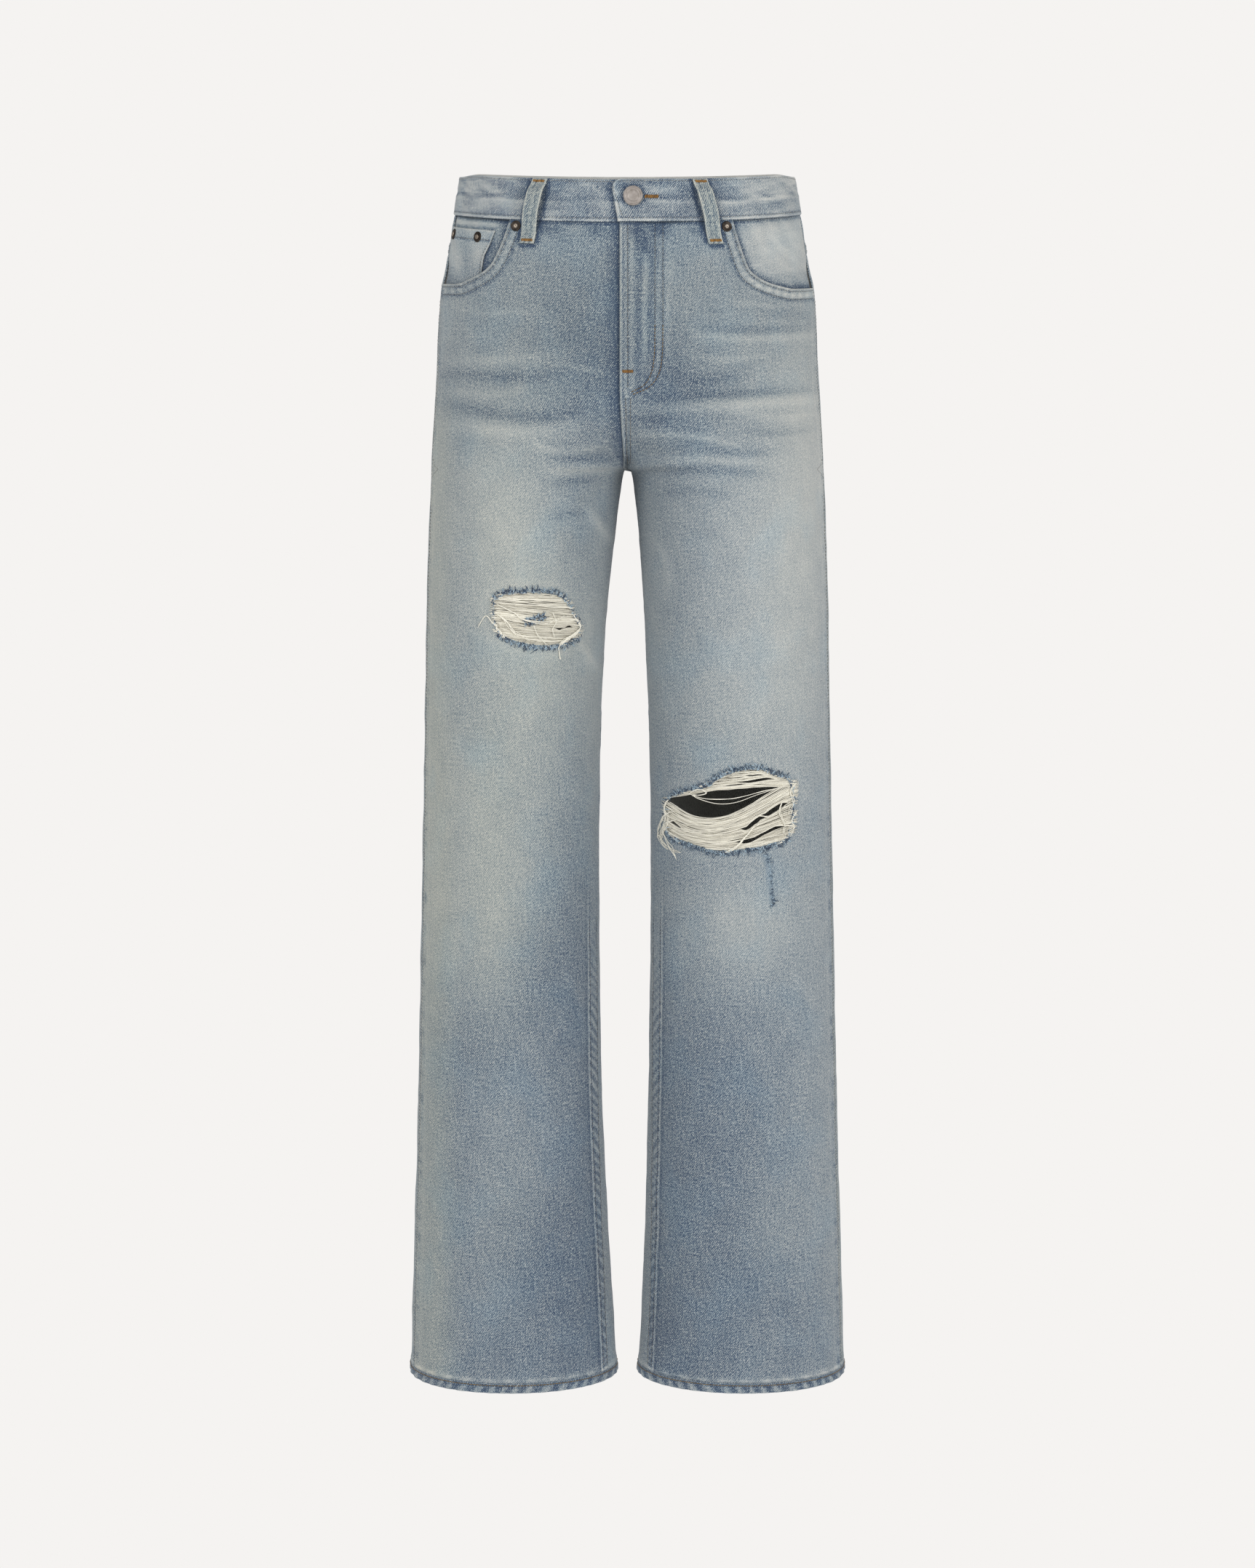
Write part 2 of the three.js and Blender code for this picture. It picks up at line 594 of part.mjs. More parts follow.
// The open lens between the knee's two bundles of threads: x, lower edge, upper edge
const LENS = [[31, -531.8, -531.2], [43, -532, -531], [56, -540.5, -524.3], [69, -544.8, -520.6],
  [82, -543, -519.6], [96, -537.6, -519], [110, -529, -518.4], [124, -519, -518.2], [138, -518.5, -517.9],
  [151, -518.5, -517.9]];
const lensLow = LENS.map(([x, low]) => [x, low]);
const lensHigh = LENS.map(([x, , high]) => [x, high]);
const kneeColumns = LENS.map(([x]) => x);
threadPatch('knee_rip_threads_upper', kneeColumns, 3, (x) => through(lensHigh, x), () => -494);
threadPatch('knee_rip_threads_lower', kneeColumns, 4, () => -580, (x) => through(lensLow, x));

// ---- button and rivets ----

// The form's outward direction at a height, with its slope: formAt gives the form at any height
function outwardAt(formAt, z) {
  const step = 2;
  const above = formAt(z + step);
  const below = formAt(z - step);
  const rise = new THREE.Vector3(above.x - below.x, above.y - below.y, 2 * step).normalize();
  const flat = new THREE.Vector3(formAt(z).nx, formAt(z).ny, 0);
  return flat.sub(rise.multiplyScalar(flat.dot(rise))).normalize();
}

// Turned pieces have no normals or texture, and a lathe's flat triangles on the axis are dropped
function turned(profile, segments) {
  const lathe = new THREE.LatheGeometry(profile.map(([r, h]) => new THREE.Vector2(r, h)), segments);
  lathe.deleteAttribute('normal');
  lathe.deleteAttribute('uv');
  const merged = mergeVertices(lathe, 1e-4);
  const kept = [];
  for (let i = 0; i < merged.index.count; i += 3) {
    const [a, b, c] = [0, 1, 2].map((k) => merged.index.getX(i + k));
    if (a !== b && b !== c && c !== a) kept.push([a, b, c]);
  }
  return { merged, kept };
}

// Stands a turned piece on the cloth with its axis along the outward direction
function stand(name, profile, segments, formAt, z, offset, material) {
  const { merged, kept } = turned(profile, segments);
  const outward = outwardAt(formAt, z);
  const base = spot(formAt(z), 0, z).addScaledVector(outward, offset);
  const turn = new THREE.Quaternion().setFromUnitVectors(new THREE.Vector3(0, 1, 0), outward);
  const vertices = [];
  for (let i = 0; i < merged.attributes.position.count; i += 1) {
    const point = new THREE.Vector3().fromBufferAttribute(merged.attributes.position, i);
    vertices.push(point.applyQuaternion(turn).add(base));
  }
  addPiece(name, solidFrom(vertices, kept), material);
}

// Radius, height above the cloth
const BUTTON_PROFILE = [[0, 0], [4, 0], [4, 1.5], [7.6, 1.5], [8.5, 2.1], [8.7, 2.9], [8.2, 3.7], [7.4, 3.9],
  [6.8, 3.4], [0, 3.2]];
const RIVET_PROFILE = [[0, 0], [4.5, 0], [4.6, 0.3], [3.9, 0.8], [2.1, 0.7], [1.9, 1.4], [1.2, 1.9], [0, 2]];
const TAB_FACE = BAND_OUT + BAND_LAP_LIFT;
const RIVET_SEGMENTS = 12;
const frontForm = (x) => (z) => faceAt(frontFace, x, z);
stand('waist_button', BUTTON_PROFILE, 24, frontForm(5), 3.3, TAB_FACE + LAY, STEEL);
stand('rivet_pocket_left', RIVET_PROFILE, RIVET_SEGMENTS, frontForm(85), -23.4, LAY, DARK_STEEL);
stand('rivet_pocket_right', RIVET_PROFILE, RIVET_SEGMENTS, frontForm(-95.8), -23.4, LAY, DARK_STEEL);
for (const [name, toSeam] of [['rivet_coin_front', 50], ['rivet_coin_side', 9]]) {
  const coinForm = (z) => {
    const line = frontTrace(z);
    return onSide(alongTrace(line, line.total - toSeam), -1);
  };
  const z = -34.5;
  stand(name, RIVET_PROFILE, RIVET_SEGMENTS, coinForm, z, FACING_OUT + facingRise(toSeam, z) + LAY, DARK_STEEL);
}

export default jeans;
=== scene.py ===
# Ripped straight-leg jeans, filled out as if worn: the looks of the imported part.
# Sizes in this file are in millimetres, as in the part. Meshes are turned into metres as they are made.
# +Z is up, the front faces -Y and the wearer's left is at +X. "Across" is a running length along the cloth.
import math

import bpy
import numpy as np
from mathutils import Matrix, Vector


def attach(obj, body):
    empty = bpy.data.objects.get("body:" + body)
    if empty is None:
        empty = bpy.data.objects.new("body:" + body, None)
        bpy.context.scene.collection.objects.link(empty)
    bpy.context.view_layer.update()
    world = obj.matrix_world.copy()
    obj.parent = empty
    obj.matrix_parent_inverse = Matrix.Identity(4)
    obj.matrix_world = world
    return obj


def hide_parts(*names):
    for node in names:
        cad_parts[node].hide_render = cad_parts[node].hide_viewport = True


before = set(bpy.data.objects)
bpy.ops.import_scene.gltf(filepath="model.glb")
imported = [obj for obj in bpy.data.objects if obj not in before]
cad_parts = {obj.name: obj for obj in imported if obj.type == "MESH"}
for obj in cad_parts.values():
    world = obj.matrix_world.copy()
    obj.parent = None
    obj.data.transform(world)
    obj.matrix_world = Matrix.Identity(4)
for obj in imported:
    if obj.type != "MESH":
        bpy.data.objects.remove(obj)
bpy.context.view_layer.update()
random = np.random.default_rng(7)

# ---- driving dimensions, as in the part ----

BAND_TOP, BAND_LOW = 17.5, -17.5
CROTCH_Z, CROTCH_Y = -240.0, 5.0
HEM_Z, HEM_HEIGHT = -1066.0, 9.0
FRONT_RISE_CURVE, BACK_RISE_CURVE = 70.0, 100.0
FULLNESS, ROUND = 0.58, 0.5523
DENIM, PATCH_WALL = 1.3, 1.1    # cloth of a panel, and of a pocket or facing that lies on another
BAND_OUT, BAND_IN = 0.8, -2.0
HALF_WIDTH = [(17.5, 147), (-17.5, 152.3), (-60, 159.5), (-88, 165.3), (-148, 169), (-238, 174.2),
              (-342, 178.8), (-500, 182.6), (-658, 186.7), (-819, 190.9), (-982, 196.5), (HEM_Z, 199)]
HALF_GAP = [(CROTCH_Z, 0), (-243, 2.8), (-264, 6.5), (-316, 12.3), (-394, 18.2), (-500, 22.2),
            (-605, 23.3), (-765, 21.9), (-873, 19), (-982, 14.3), (HEM_Z, 9.5)]
FRONT_DEPTH = [(17.5, 96), (-17.5, 99), (-60, 104), (-110, 109), (-180, 112), (CROTCH_Z, 110), (-300, 106),
               (-380, 98), (-470, 90), (-560, 85), (-680, 79), (-820, 76), (HEM_Z, 75)]
BACK_DEPTH = [(17.5, 95), (-17.5, 99), (-60, 110), (-120, 122), (-170, 127), (CROTCH_Z, 121), (-300, 111),
              (-380, 100), (-470, 91), (-560, 85), (-680, 80), (-820, 77), (HEM_Z, 76)]
SIDE_SEAM = [(17.5, 0.93), (-90, 0.91), (-300, 0.82), (HEM_Z, 0.8)]
INSEAM = [(-400, 0), (-760, 0.17), (HEM_Z, 0.27)]
WAIST_DIP, WAIST_BOW, LEG_LEAN = 7.6, 4.0, 2.6
LAP, LAP_LIFT = 6.7, 2.5
LOOP_WIDTH, LOOP_TOP, LOOP_FOOT = 13.5, 16.8, -38
LOOPS = [("front_left", 61, 75.5, "front face"), ("front_right", -74, -86, "front face"),
         ("back_left", 86, 90, "back face"), ("back_right", -86, -90, "back face"),
         ("centre_back", 0.01, 0.01, "back face")]       # distance from the middle at the top and at the foot

SCOOP_LEFT = [(89.7, -10), (90.6, -20), (97.2, -42), (104.1, -60.6), (111, -68.5), (121, -74.6),
              (137, -80.2), (150, -81.8), (200, -82)]
SCOOP_RIGHT = [(-100.3, -10), (-101.5, -20), (-109, -41), (-115.5, -55), (-121, -62), (-128, -67.6),
               (-139.2, -74), (-152, -77.8), (-200, -79)]
THIGH_HOLE = [(-115, -354), (-110.5, -349.5), (-103, -346.8), (-82, -345.8), (-64, -347.2), (-55, -351.5),
              (-49, -360), (-44.5, -371), (-40, -378), (-41.5, -386.5), (-59, -392.6), (-85, -391.4),
              (-105, -384.6), (-112, -379), (-115, -361)]
KNEE_HOLE = [(36, -532), (54, -522.5), (71, -518), (81, -508.8), (100, -500.8), (118, -500.8), (129, -506.8),
             (145.5, -512.3), (144.5, -560), (130, -567), (100, -572.5), (76, -573.8), (57, -568.4),
             (38, -563.5), (36.5, -547)]


# ---- numbers and curves ----

def mix(a, b, t):
    return a + (b - a) * t


def ease(low, high, value):
    """A smooth step from 0 at low to 1 at high; low may be above high."""
    t = np.clip((value - low) / (high - low), 0.0, 1.0)
    return t * t * (3 - 2 * t)


def hump(value, centre, width):
    """A smooth hump of height 1."""
    return np.exp(-(((value - centre) / width) ** 2))


def through(stations, z):
    """A smooth curve through stations (height, size), without overshoot between them."""
    table = np.array(sorted(stations), float)
    at, size = table[:, 0], table[:, 1]
    z = np.clip(np.asarray(z, float), at[0], at[-1])
    slope = np.diff(size) / np.diff(at)
    tangent = np.empty(len(at))
    tangent[0], tangent[-1] = slope[0], slope[-1]
    for i in range(1, len(at) - 1):
        product = slope[i - 1] * slope[i]
        tangent[i] = 0 if product <= 0 else 2 * product / (slope[i - 1] + slope[i])
    i = np.clip(np.searchsorted(at, z, side="right") - 1, 0, len(at) - 2)
    span = at[i + 1] - at[i]
    t = (z - at[i]) / span
    return ((2 * t**3 - 3 * t**2 + 1) * size[i] + (t**3 - 2 * t**2 + t) * span * tangent[i]
            + (3 * t**2 - 2 * t**3) * size[i + 1] + (t**3 - t**2) * span * tangent[i + 1])


CURVE_STEPS = 16


def smooth_curve(points, step):
    """A Catmull-Rom curve through points, with points about a step apart."""
    p = np.array(points, float)
    p = np.vstack([2 * p[0] - p[1], p, 2 * p[-1] - p[-2]])
    t = np.linspace(0, 1, CURVE_STEPS, endpoint=False)[:, None]
    runs = []
    for a, b, c, d in zip(p[:-3], p[1:-2], p[2:-1], p[3:]):
        runs.append(0.5 * (2 * b + (c - a) * t + (2 * a - 5 * b + 4 * c - d) * t**2
                           + (3 * b - a - 3 * c + d) * t**3))
    dense = np.vstack(runs + [p[-2:-1]])
    return respace(dense, step)


def lengths_along(points):
    """How far along a line each of its points is."""
    return np.concatenate([[0], np.cumsum(np.linalg.norm(np.diff(points, axis=0), axis=1))])


def read_line(points, at, lengths):
    """Points of a line at these lengths along it."""
    return np.stack([np.interp(at, lengths, points[:, k]) for k in range(points.shape[1])], -1)


def respace(points, step):
    """The same line with points about a step apart."""
    lengths = lengths_along(points)
    count = max(2, int(round(lengths[-1] / step)) + 1)
    return read_line(points, np.linspace(0, lengths[-1], count), lengths)


def closed_curve(points, step):
    """A closed curve through points, with a little of each corner rounded off."""
    p = np.array(points, float)
    loop = np.stack([mix(p, np.roll(p, -1, 0), 0.25), mix(p, np.roll(p, -1, 0), 0.75)], axis=1).reshape(-1, 2)
    return respace(np.vstack([loop, loop[:1]]), step)


def nearest(curve, x, z):
    """Each point's distance to a curve in x and z, the nearest place on it and how far along that is."""
    best = np.full(np.shape(x), 1e9)
    near_x, near_z, run = np.zeros_like(best), np.zeros_like(best), np.zeros_like(best)
    start = 0.0
    for (ax, az), (bx, bz) in zip(curve[:-1], curve[1:]):
        dx, dz = bx - ax, bz - az
        long = math.hypot(dx, dz)
        if long < 1e-6:
            continue
        t = np.clip(((x - ax) * dx + (z - az) * dz) / long**2, 0, 1)
        px, pz = ax + t * dx, az + t * dz
        distance = np.hypot(x - px, z - pz)
        closer = distance < best
        best = np.where(closer, distance, best)
        near_x, near_z = np.where(closer, px, near_x), np.where(closer, pz, near_z)
        run = np.where(closer, start + t * long, run)
        start += long
    return best, near_x, near_z, run


def inside(outline, x, z):
    """Whether each point is inside a closed outline."""
    within = np.zeros(np.shape(x), bool)
    for (ax, az), (bx, bz) in zip(outline, np.roll(outline, -1, axis=0)):
        if az == bz:
            continue
        crosses = ((az > z) != (bz > z)) & (x < ax + (z - az) * (bx - ax) / (bz - az))
        within ^= crosses
    return within


def ripple(x, z, long, seed):
    """A gentle waviness about 1 high, with waves about this long."""
    waves = np.random.default_rng(seed)
    total = np.zeros(np.shape(x))
    for _ in range(7):
        angle, phase, size = waves.uniform(0, math.pi), waves.uniform(0, 2 * math.pi), waves.uniform(0.7, 1.5)
        total += np.sin(2 * math.pi * (x * math.cos(angle) + z * math.sin(angle)) / (long * size) + phase)
    return total / 4


# ---- the form: a stack of half-sections of four quarter arcs, as in the part ----

def quarter(start, corner, end, pull, t):
    pull, t = pull[:, None, None], t[..., None]
    start, corner, end = start[:, None], corner[:, None], end[:, None]
    near, far = mix(start, corner, pull), mix(end, corner, pull)
    return (1 - t)**3 * start + 3 * (1 - t)**2 * t * near + 3 * (1 - t) * t**2 * far + t**3 * end


def rise_corner(end, peak, turned):
    depth = np.abs(peak[:, 1] - end[:, 1])
    width = np.maximum(peak[:, 0] - end[:, 0], 1e-6)
    sharp = ease(0.8, 1, turned)
    angle = np.maximum(mix(np.arctan2(2 * depth, width), math.pi / 2, sharp), 1e-6)
    return np.stack([end[:, 0] + depth / np.tan(angle), peak[:, 1]], 1), mix(2 / 3, ROUND, sharp)


def section(z, arc, t):
    """Points at t along one arc of the half-section at each height: inner front, front, back, inner back."""
    width = through(HALF_WIDTH, z)
    gap = np.where(z < CROTCH_Z, through(HALF_GAP, z), 0.0)
    inner_y = CROTCH_Y * (1 - ease(0, 200, CROTCH_Z - z))
    forward = arc < 2
    rise = FRONT_RISE_CURVE if forward else BACK_RISE_CURVE
    depth = -through(FRONT_DEPTH, z) if forward else through(BACK_DEPTH, z)
    turned = np.clip((CROTCH_Z + rise - z) / rise, 0, 1)
    end = np.stack([gap, inner_y + (depth - inner_y) * np.sqrt(1 - turned**2)], 1)
    reach = (gap + width) / 2 * np.sin(turned * math.pi / 2) ** 0.85
    peak = np.stack([np.maximum(gap, reach), depth], 1)
    side = np.stack([width, np.full_like(width, CROTCH_Y / 2)], 1)
    if arc in (0, 3):
        corner, pull = rise_corner(end, peak, turned)
        return quarter(end, corner, peak, pull, t if forward else 1 - t)
    corner = np.stack([width, depth], 1)
    return quarter(peak, corner, side, np.full_like(width, FULLNESS), t if forward else 1 - t)


ARC_STEPS = 56


def line_points(kind, heights):
    """The points of a line round the form at each height, and the running length at each of them."""
    inseam, side = through(INSEAM, heights), through(SIDE_SEAM, heights)
    none, whole = np.zeros_like(heights), np.ones_like(heights)
    runs = {
        "front": [(0, inseam, whole), (1, none, side)],
        "back": [(1, side, whole), (2, none, whole), (3, none, whole), (0, none, inseam)],
        "leg": [(0, none, whole), (1, none, whole), (2, none, whole), (3, none, whole)],
        "front face": [(0, none, whole), (1, none, whole)],
        "back face": [(2, none, whole), (3, none, whole)],
    }[kind]
    steps = np.linspace(0, 1, ARC_STEPS)
    parts = [section(heights, arc, mix(a[:, None], b[:, None], steps)) for arc, a, b in runs]
    if kind == "back":
        above = heights >= CROTCH_Z
        parts[3][above] = parts[2][above, -1:]
    points = np.concatenate(parts, axis=1)
    gone = np.linalg.norm(np.diff(points, axis=1), axis=2)
    return points, np.concatenate([np.zeros((len(heights), 1)), np.cumsum(gone, axis=1)], axis=1)


def along(kind, value, z, share=False):
    """x, y and running length at a length, or a share of the whole, along a line of the form at height z."""
    z, value = np.broadcast_arrays(np.asarray(z, float), np.asarray(value, float))
    heights, which = np.unique(z, return_inverse=True)
    points, lengths = line_points(kind, heights)
    which = which.ravel()
    wanted = (value.ravel() * lengths[which, -1]) if share else value.ravel()
    x, y = np.empty(len(wanted)), np.empty(len(wanted))
    order = np.argsort(which, kind="stable")
    starts = np.searchsorted(which[order], np.arange(len(heights) + 1))
    for k in range(len(heights)):
        pick = order[starts[k]:starts[k + 1]]
        x[pick] = np.interp(wanted[pick], lengths[k], points[k, :, 0])
        y[pick] = np.interp(wanted[pick], lengths[k], points[k, :, 1])
    return x.reshape(z.shape), y.reshape(z.shape), wanted.reshape(z.shape)


def total_length(kind, z):
    return line_points(kind, np.atleast_1d(np.asarray(z, float)))[1][:, -1]


def length_at_x(kind, x, z):
    """The running length where a line of the form is this far from the middle, at each height."""
    x, z = np.broadcast_arrays(np.asarray(x, float), np.asarray(z, float))
    points, lengths = line_points(kind, z.ravel())
    found = [np.interp(want, row[:, 0], run) if row[-1, 0] > row[0, 0] else np.interp(-want, -row[:, 0], run)
             for want, row, run in zip(np.abs(x).ravel(), points, lengths)]
    return np.array(found).reshape(x.shape)


def fit(x, y, z):
    """From the level form to the worn one, as in the part."""
    across = y / 98.0
    waist = ease(-160, -25, z)
    lean = LEG_LEAN * (1 - ease(-420, -250, z)) * ease(-1040, -760, z)
    inner = np.clip(1 - np.abs(x) / 190, 0, 1)
    return np.stack([x - lean * inner, y, z + waist * (WAIST_DIP * across - WAIST_BOW * across**2)], -1)


# ---- grids of cloth on the form ----

def unit(v):
    return v / np.maximum(np.linalg.norm(v, axis=-1, keepdims=True), 1e-9)


PLAIN_FADE = 0.45               # how faded the cloth is where no wear is given: 0 is indigo and 1 is white


class Cloth:
    """A grid of cloth. Rows go down; columns run to the right as seen from outside, or left if side is -1."""

    def __init__(self, x, y, z, across, side=1, ring=False):
        self.x, self.y, self.z, self.across = x, y, z, across
        self.side, self.ring = side, ring
        self.points = fit(x, y, z)
        self.normals = self.outward()
        self.kept = np.ones((z.shape[0] - 1, z.shape[1] - (0 if ring else 1)), bool)
        # How faded the cloth is, with painted shadows, painted shade and painted highlights added into the
        # same value
        self.fade = np.full(z.shape, PLAIN_FADE)
        self.warm = np.zeros(z.shape)
        self.dark = np.zeros(z.shape)
        self.u = side * across
        self.v = z.copy()

    def outward(self):
        p = self.points
        if self.ring:
            wide = np.roll(p, -1, 1) - np.roll(p, 1, 1)
        else:
            wide = np.gradient(p, axis=1)
        normals = unit(np.cross(np.gradient(p, axis=0), wide))
        return normals * self.side

    def raise_by(self, height):
        self.points = self.points + self.normals * height[..., None]

    def settle(self):
        """Takes the normals again once all the relief is in."""
        self.normals = self.outward()

    def place(self, key, value, z):
        """Fractional row and column where the grid named key has this value at height z."""
        grid = self.side * self.x if key == "x" else self.across
        value = np.asarray(value, float) * (self.side if key == "x" else 1)
        rows = self.z[:, 0]
        j = np.interp(-np.asarray(z, float), -rows, np.arange(len(rows)))
        low = np.clip(np.floor(j).astype(int), 0, len(rows) - 2)
        t = (j - low)[:, None]
        lines = mix(grid[low], grid[low + 1], t)
        i = np.array([np.interp(v, line, np.arange(line.size)) for v, line in zip(value, lines)])
        return j, i

    def read(self, values, j, i):
        """Values of the grid at fractional rows and columns."""
        j0 = np.clip(np.floor(j).astype(int), 0, values.shape[0] - 2)
        i0 = np.clip(np.floor(i).astype(int), 0, values.shape[1] - 2)
        tj, ti = j - j0, i - i0
        if values.ndim == 3:
            tj, ti = tj[..., None], ti[..., None]
        top = mix(values[j0, i0], values[j0, i0 + 1], ti)
        return mix(top, mix(values[j0 + 1, i0], values[j0 + 1, i0 + 1], ti), tj)

    def spot(self, key, value, z, height=0.0):
        """Points at a height over the cloth, and the outward direction there."""
        value, z = np.broadcast_arrays(np.asarray(value, float), np.asarray(z, float))
        j, i = self.place(key, value.ravel(), z.ravel())
        points, normals = self.read(self.points, j, i), unit(self.read(self.normals, j, i))
        return points + normals * np.reshape(height, (-1, 1)), normals

    def cut(self, outline):
        """Takes out the cells inside an outline in x and z, and draws the edge left onto the outline."""
        z_mid = (self.z[:-1, :-1] + self.z[1:, 1:]) / 2
        x_mid = (self.x[:-1, :-1] + self.x[1:, 1:] + self.x[1:, :-1] + self.x[:-1, 1:]) / 4
        gone = inside(outline, x_mid, z_mid)
        self.kept &= ~gone

        def touching(cells):
            around = np.zeros((self.z.shape[0] + 1, self.z.shape[1] + 1), bool)
            around[1:-1, 1:-1] = cells
            return around[:-1, :-1] | around[1:, :-1] | around[:-1, 1:] | around[1:, 1:]

        rows, columns = np.nonzero(touching(gone) & touching(self.kept))
        _, x, z, _ = nearest(np.vstack([outline, outline[:1]]), self.x[rows, columns], self.z[rows, columns])
        j, i = self.place("x", x, z)
        j, i = np.clip(j, rows - 1, rows + 1), np.clip(i, columns - 1.5, columns + 1.5)
        for name in ("points", "normals", "u", "v", "fade", "warm", "dark"):
            values = getattr(self, name)
            moved = self.read(values, j, i)
            changed = values.copy()
            changed[rows, columns] = moved
            setattr(self, name, changed)


def link_object(name, data):
    piece = bpy.data.objects.new(name, data)
    bpy.context.scene.collection.objects.link(piece)
    return piece


def make_object(name, points, faces, material):
    mesh = bpy.data.meshes.new(name)
    mesh.from_pydata((np.asarray(points).reshape(-1, 3) / 1000).tolist(), [], faces)
    mesh.validate()
    mesh.shade_smooth()
    mesh.materials.append(material)
    return link_object(name, mesh)


def grid_quads(index, ring):
    """The four corners of each cell of a grid of points, row by row."""
    right = np.roll(index, -1, 1) if ring else index[:, 1:]
    left = index if ring else index[:, :-1]
    return np.stack([left[:-1], left[1:], right[1:], right[:-1]], -1)


def add_uv(mesh, uv):
    layer = mesh.uv_layers.new(name="weave")
    corner = np.empty(len(mesh.loops), np.int32)
    mesh.loops.foreach_get("vertex_index", corner)
    layer.data.foreach_set("uv", (uv.reshape(-1, 2)[corner] / 1000).astype(np.float32).ravel())


def add_values(mesh, name, values):
    attribute = mesh.attributes.new(name, "FLOAT_VECTOR" if values.ndim > 1 else "FLOAT", "POINT")
    key = "vector" if values.ndim > 1 else "value"
    attribute.data.foreach_set(key, values.astype(np.float32).ravel())


def finish_piece(piece, nodes):
    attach(piece, "root")
    if nodes:
        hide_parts(*nodes)
    return piece


def cloth_piece(name, cloth, materials, nodes, wall=DENIM):
    """A shell from a grid of cloth, with its wall inwards."""
    rows, columns = cloth.z.shape
    quads = grid_quads(np.arange(rows * columns).reshape(rows, columns), cloth.ring)
    if cloth.side < 0:
        quads = quads[..., ::-1]
    faces = quads[cloth.kept]
    used, compact = np.unique(faces, return_inverse=True)
    faces = compact.reshape(-1, 4).tolist()
    piece = make_object(name, cloth.points.reshape(-1, 3)[used], faces, materials[0])
    mesh = piece.data
    add_uv(mesh, np.stack([cloth.u, cloth.v], -1).reshape(-1, 2)[used])
    add_values(mesh, "wear_and_shade", np.stack([cloth.fade, cloth.warm, cloth.dark], -1).reshape(-1, 3)[used])
    mesh.materials.append(materials[1])
    thick = piece.modifiers.new("wall", "SOLIDIFY")
    thick.thickness = wall / 1000
    thick.offset = -1
    thick.material_offset = 1
    return finish_piece(piece, nodes)


def tubes(name, paths, normals, radii, tones, material, sides=5):
    """One mesh of many fine tubes. paths is (count, points, 3), radii (count, points) and tones (count,)."""
    count, steps, _ = paths.shape
    run = unit(np.gradient(paths, axis=1))
    across = unit(np.cross(run, np.broadcast_to(normals, paths.shape)))
    up = np.cross(across, run)
    turn = np.linspace(0, 2 * math.pi, sides, endpoint=False)
    ring = (across[:, :, None] * np.cos(turn)[None, None, :, None]
            + up[:, :, None] * np.sin(turn)[None, None, :, None]) * radii[:, :, None, None]
    points = paths[:, :, None] + ring
    index = np.arange(count * steps * sides).reshape(count, steps, sides)
    turned = np.roll(index, -1, 2)
    quads = np.stack([index[:, :-1], turned[:, :-1], turned[:, 1:], index[:, 1:]], -1).reshape(-1, 4)
    caps = np.concatenate([index[:, 0, ::-1], index[:, -1]]).tolist()
    piece = make_object(name, points, quads.tolist() + caps, material)
    add_values(piece.data, "tone", np.repeat(tones, steps * sides))
    return piece


# ---- materials ----

def srgb(red, green, blue):
    def linear(c):
        c = c / 255
        return c / 12.92 if c <= 0.04045 else ((c + 0.055) / 1.055) ** 2.4
    return (linear(red), linear(green), linear(blue), 1.0)


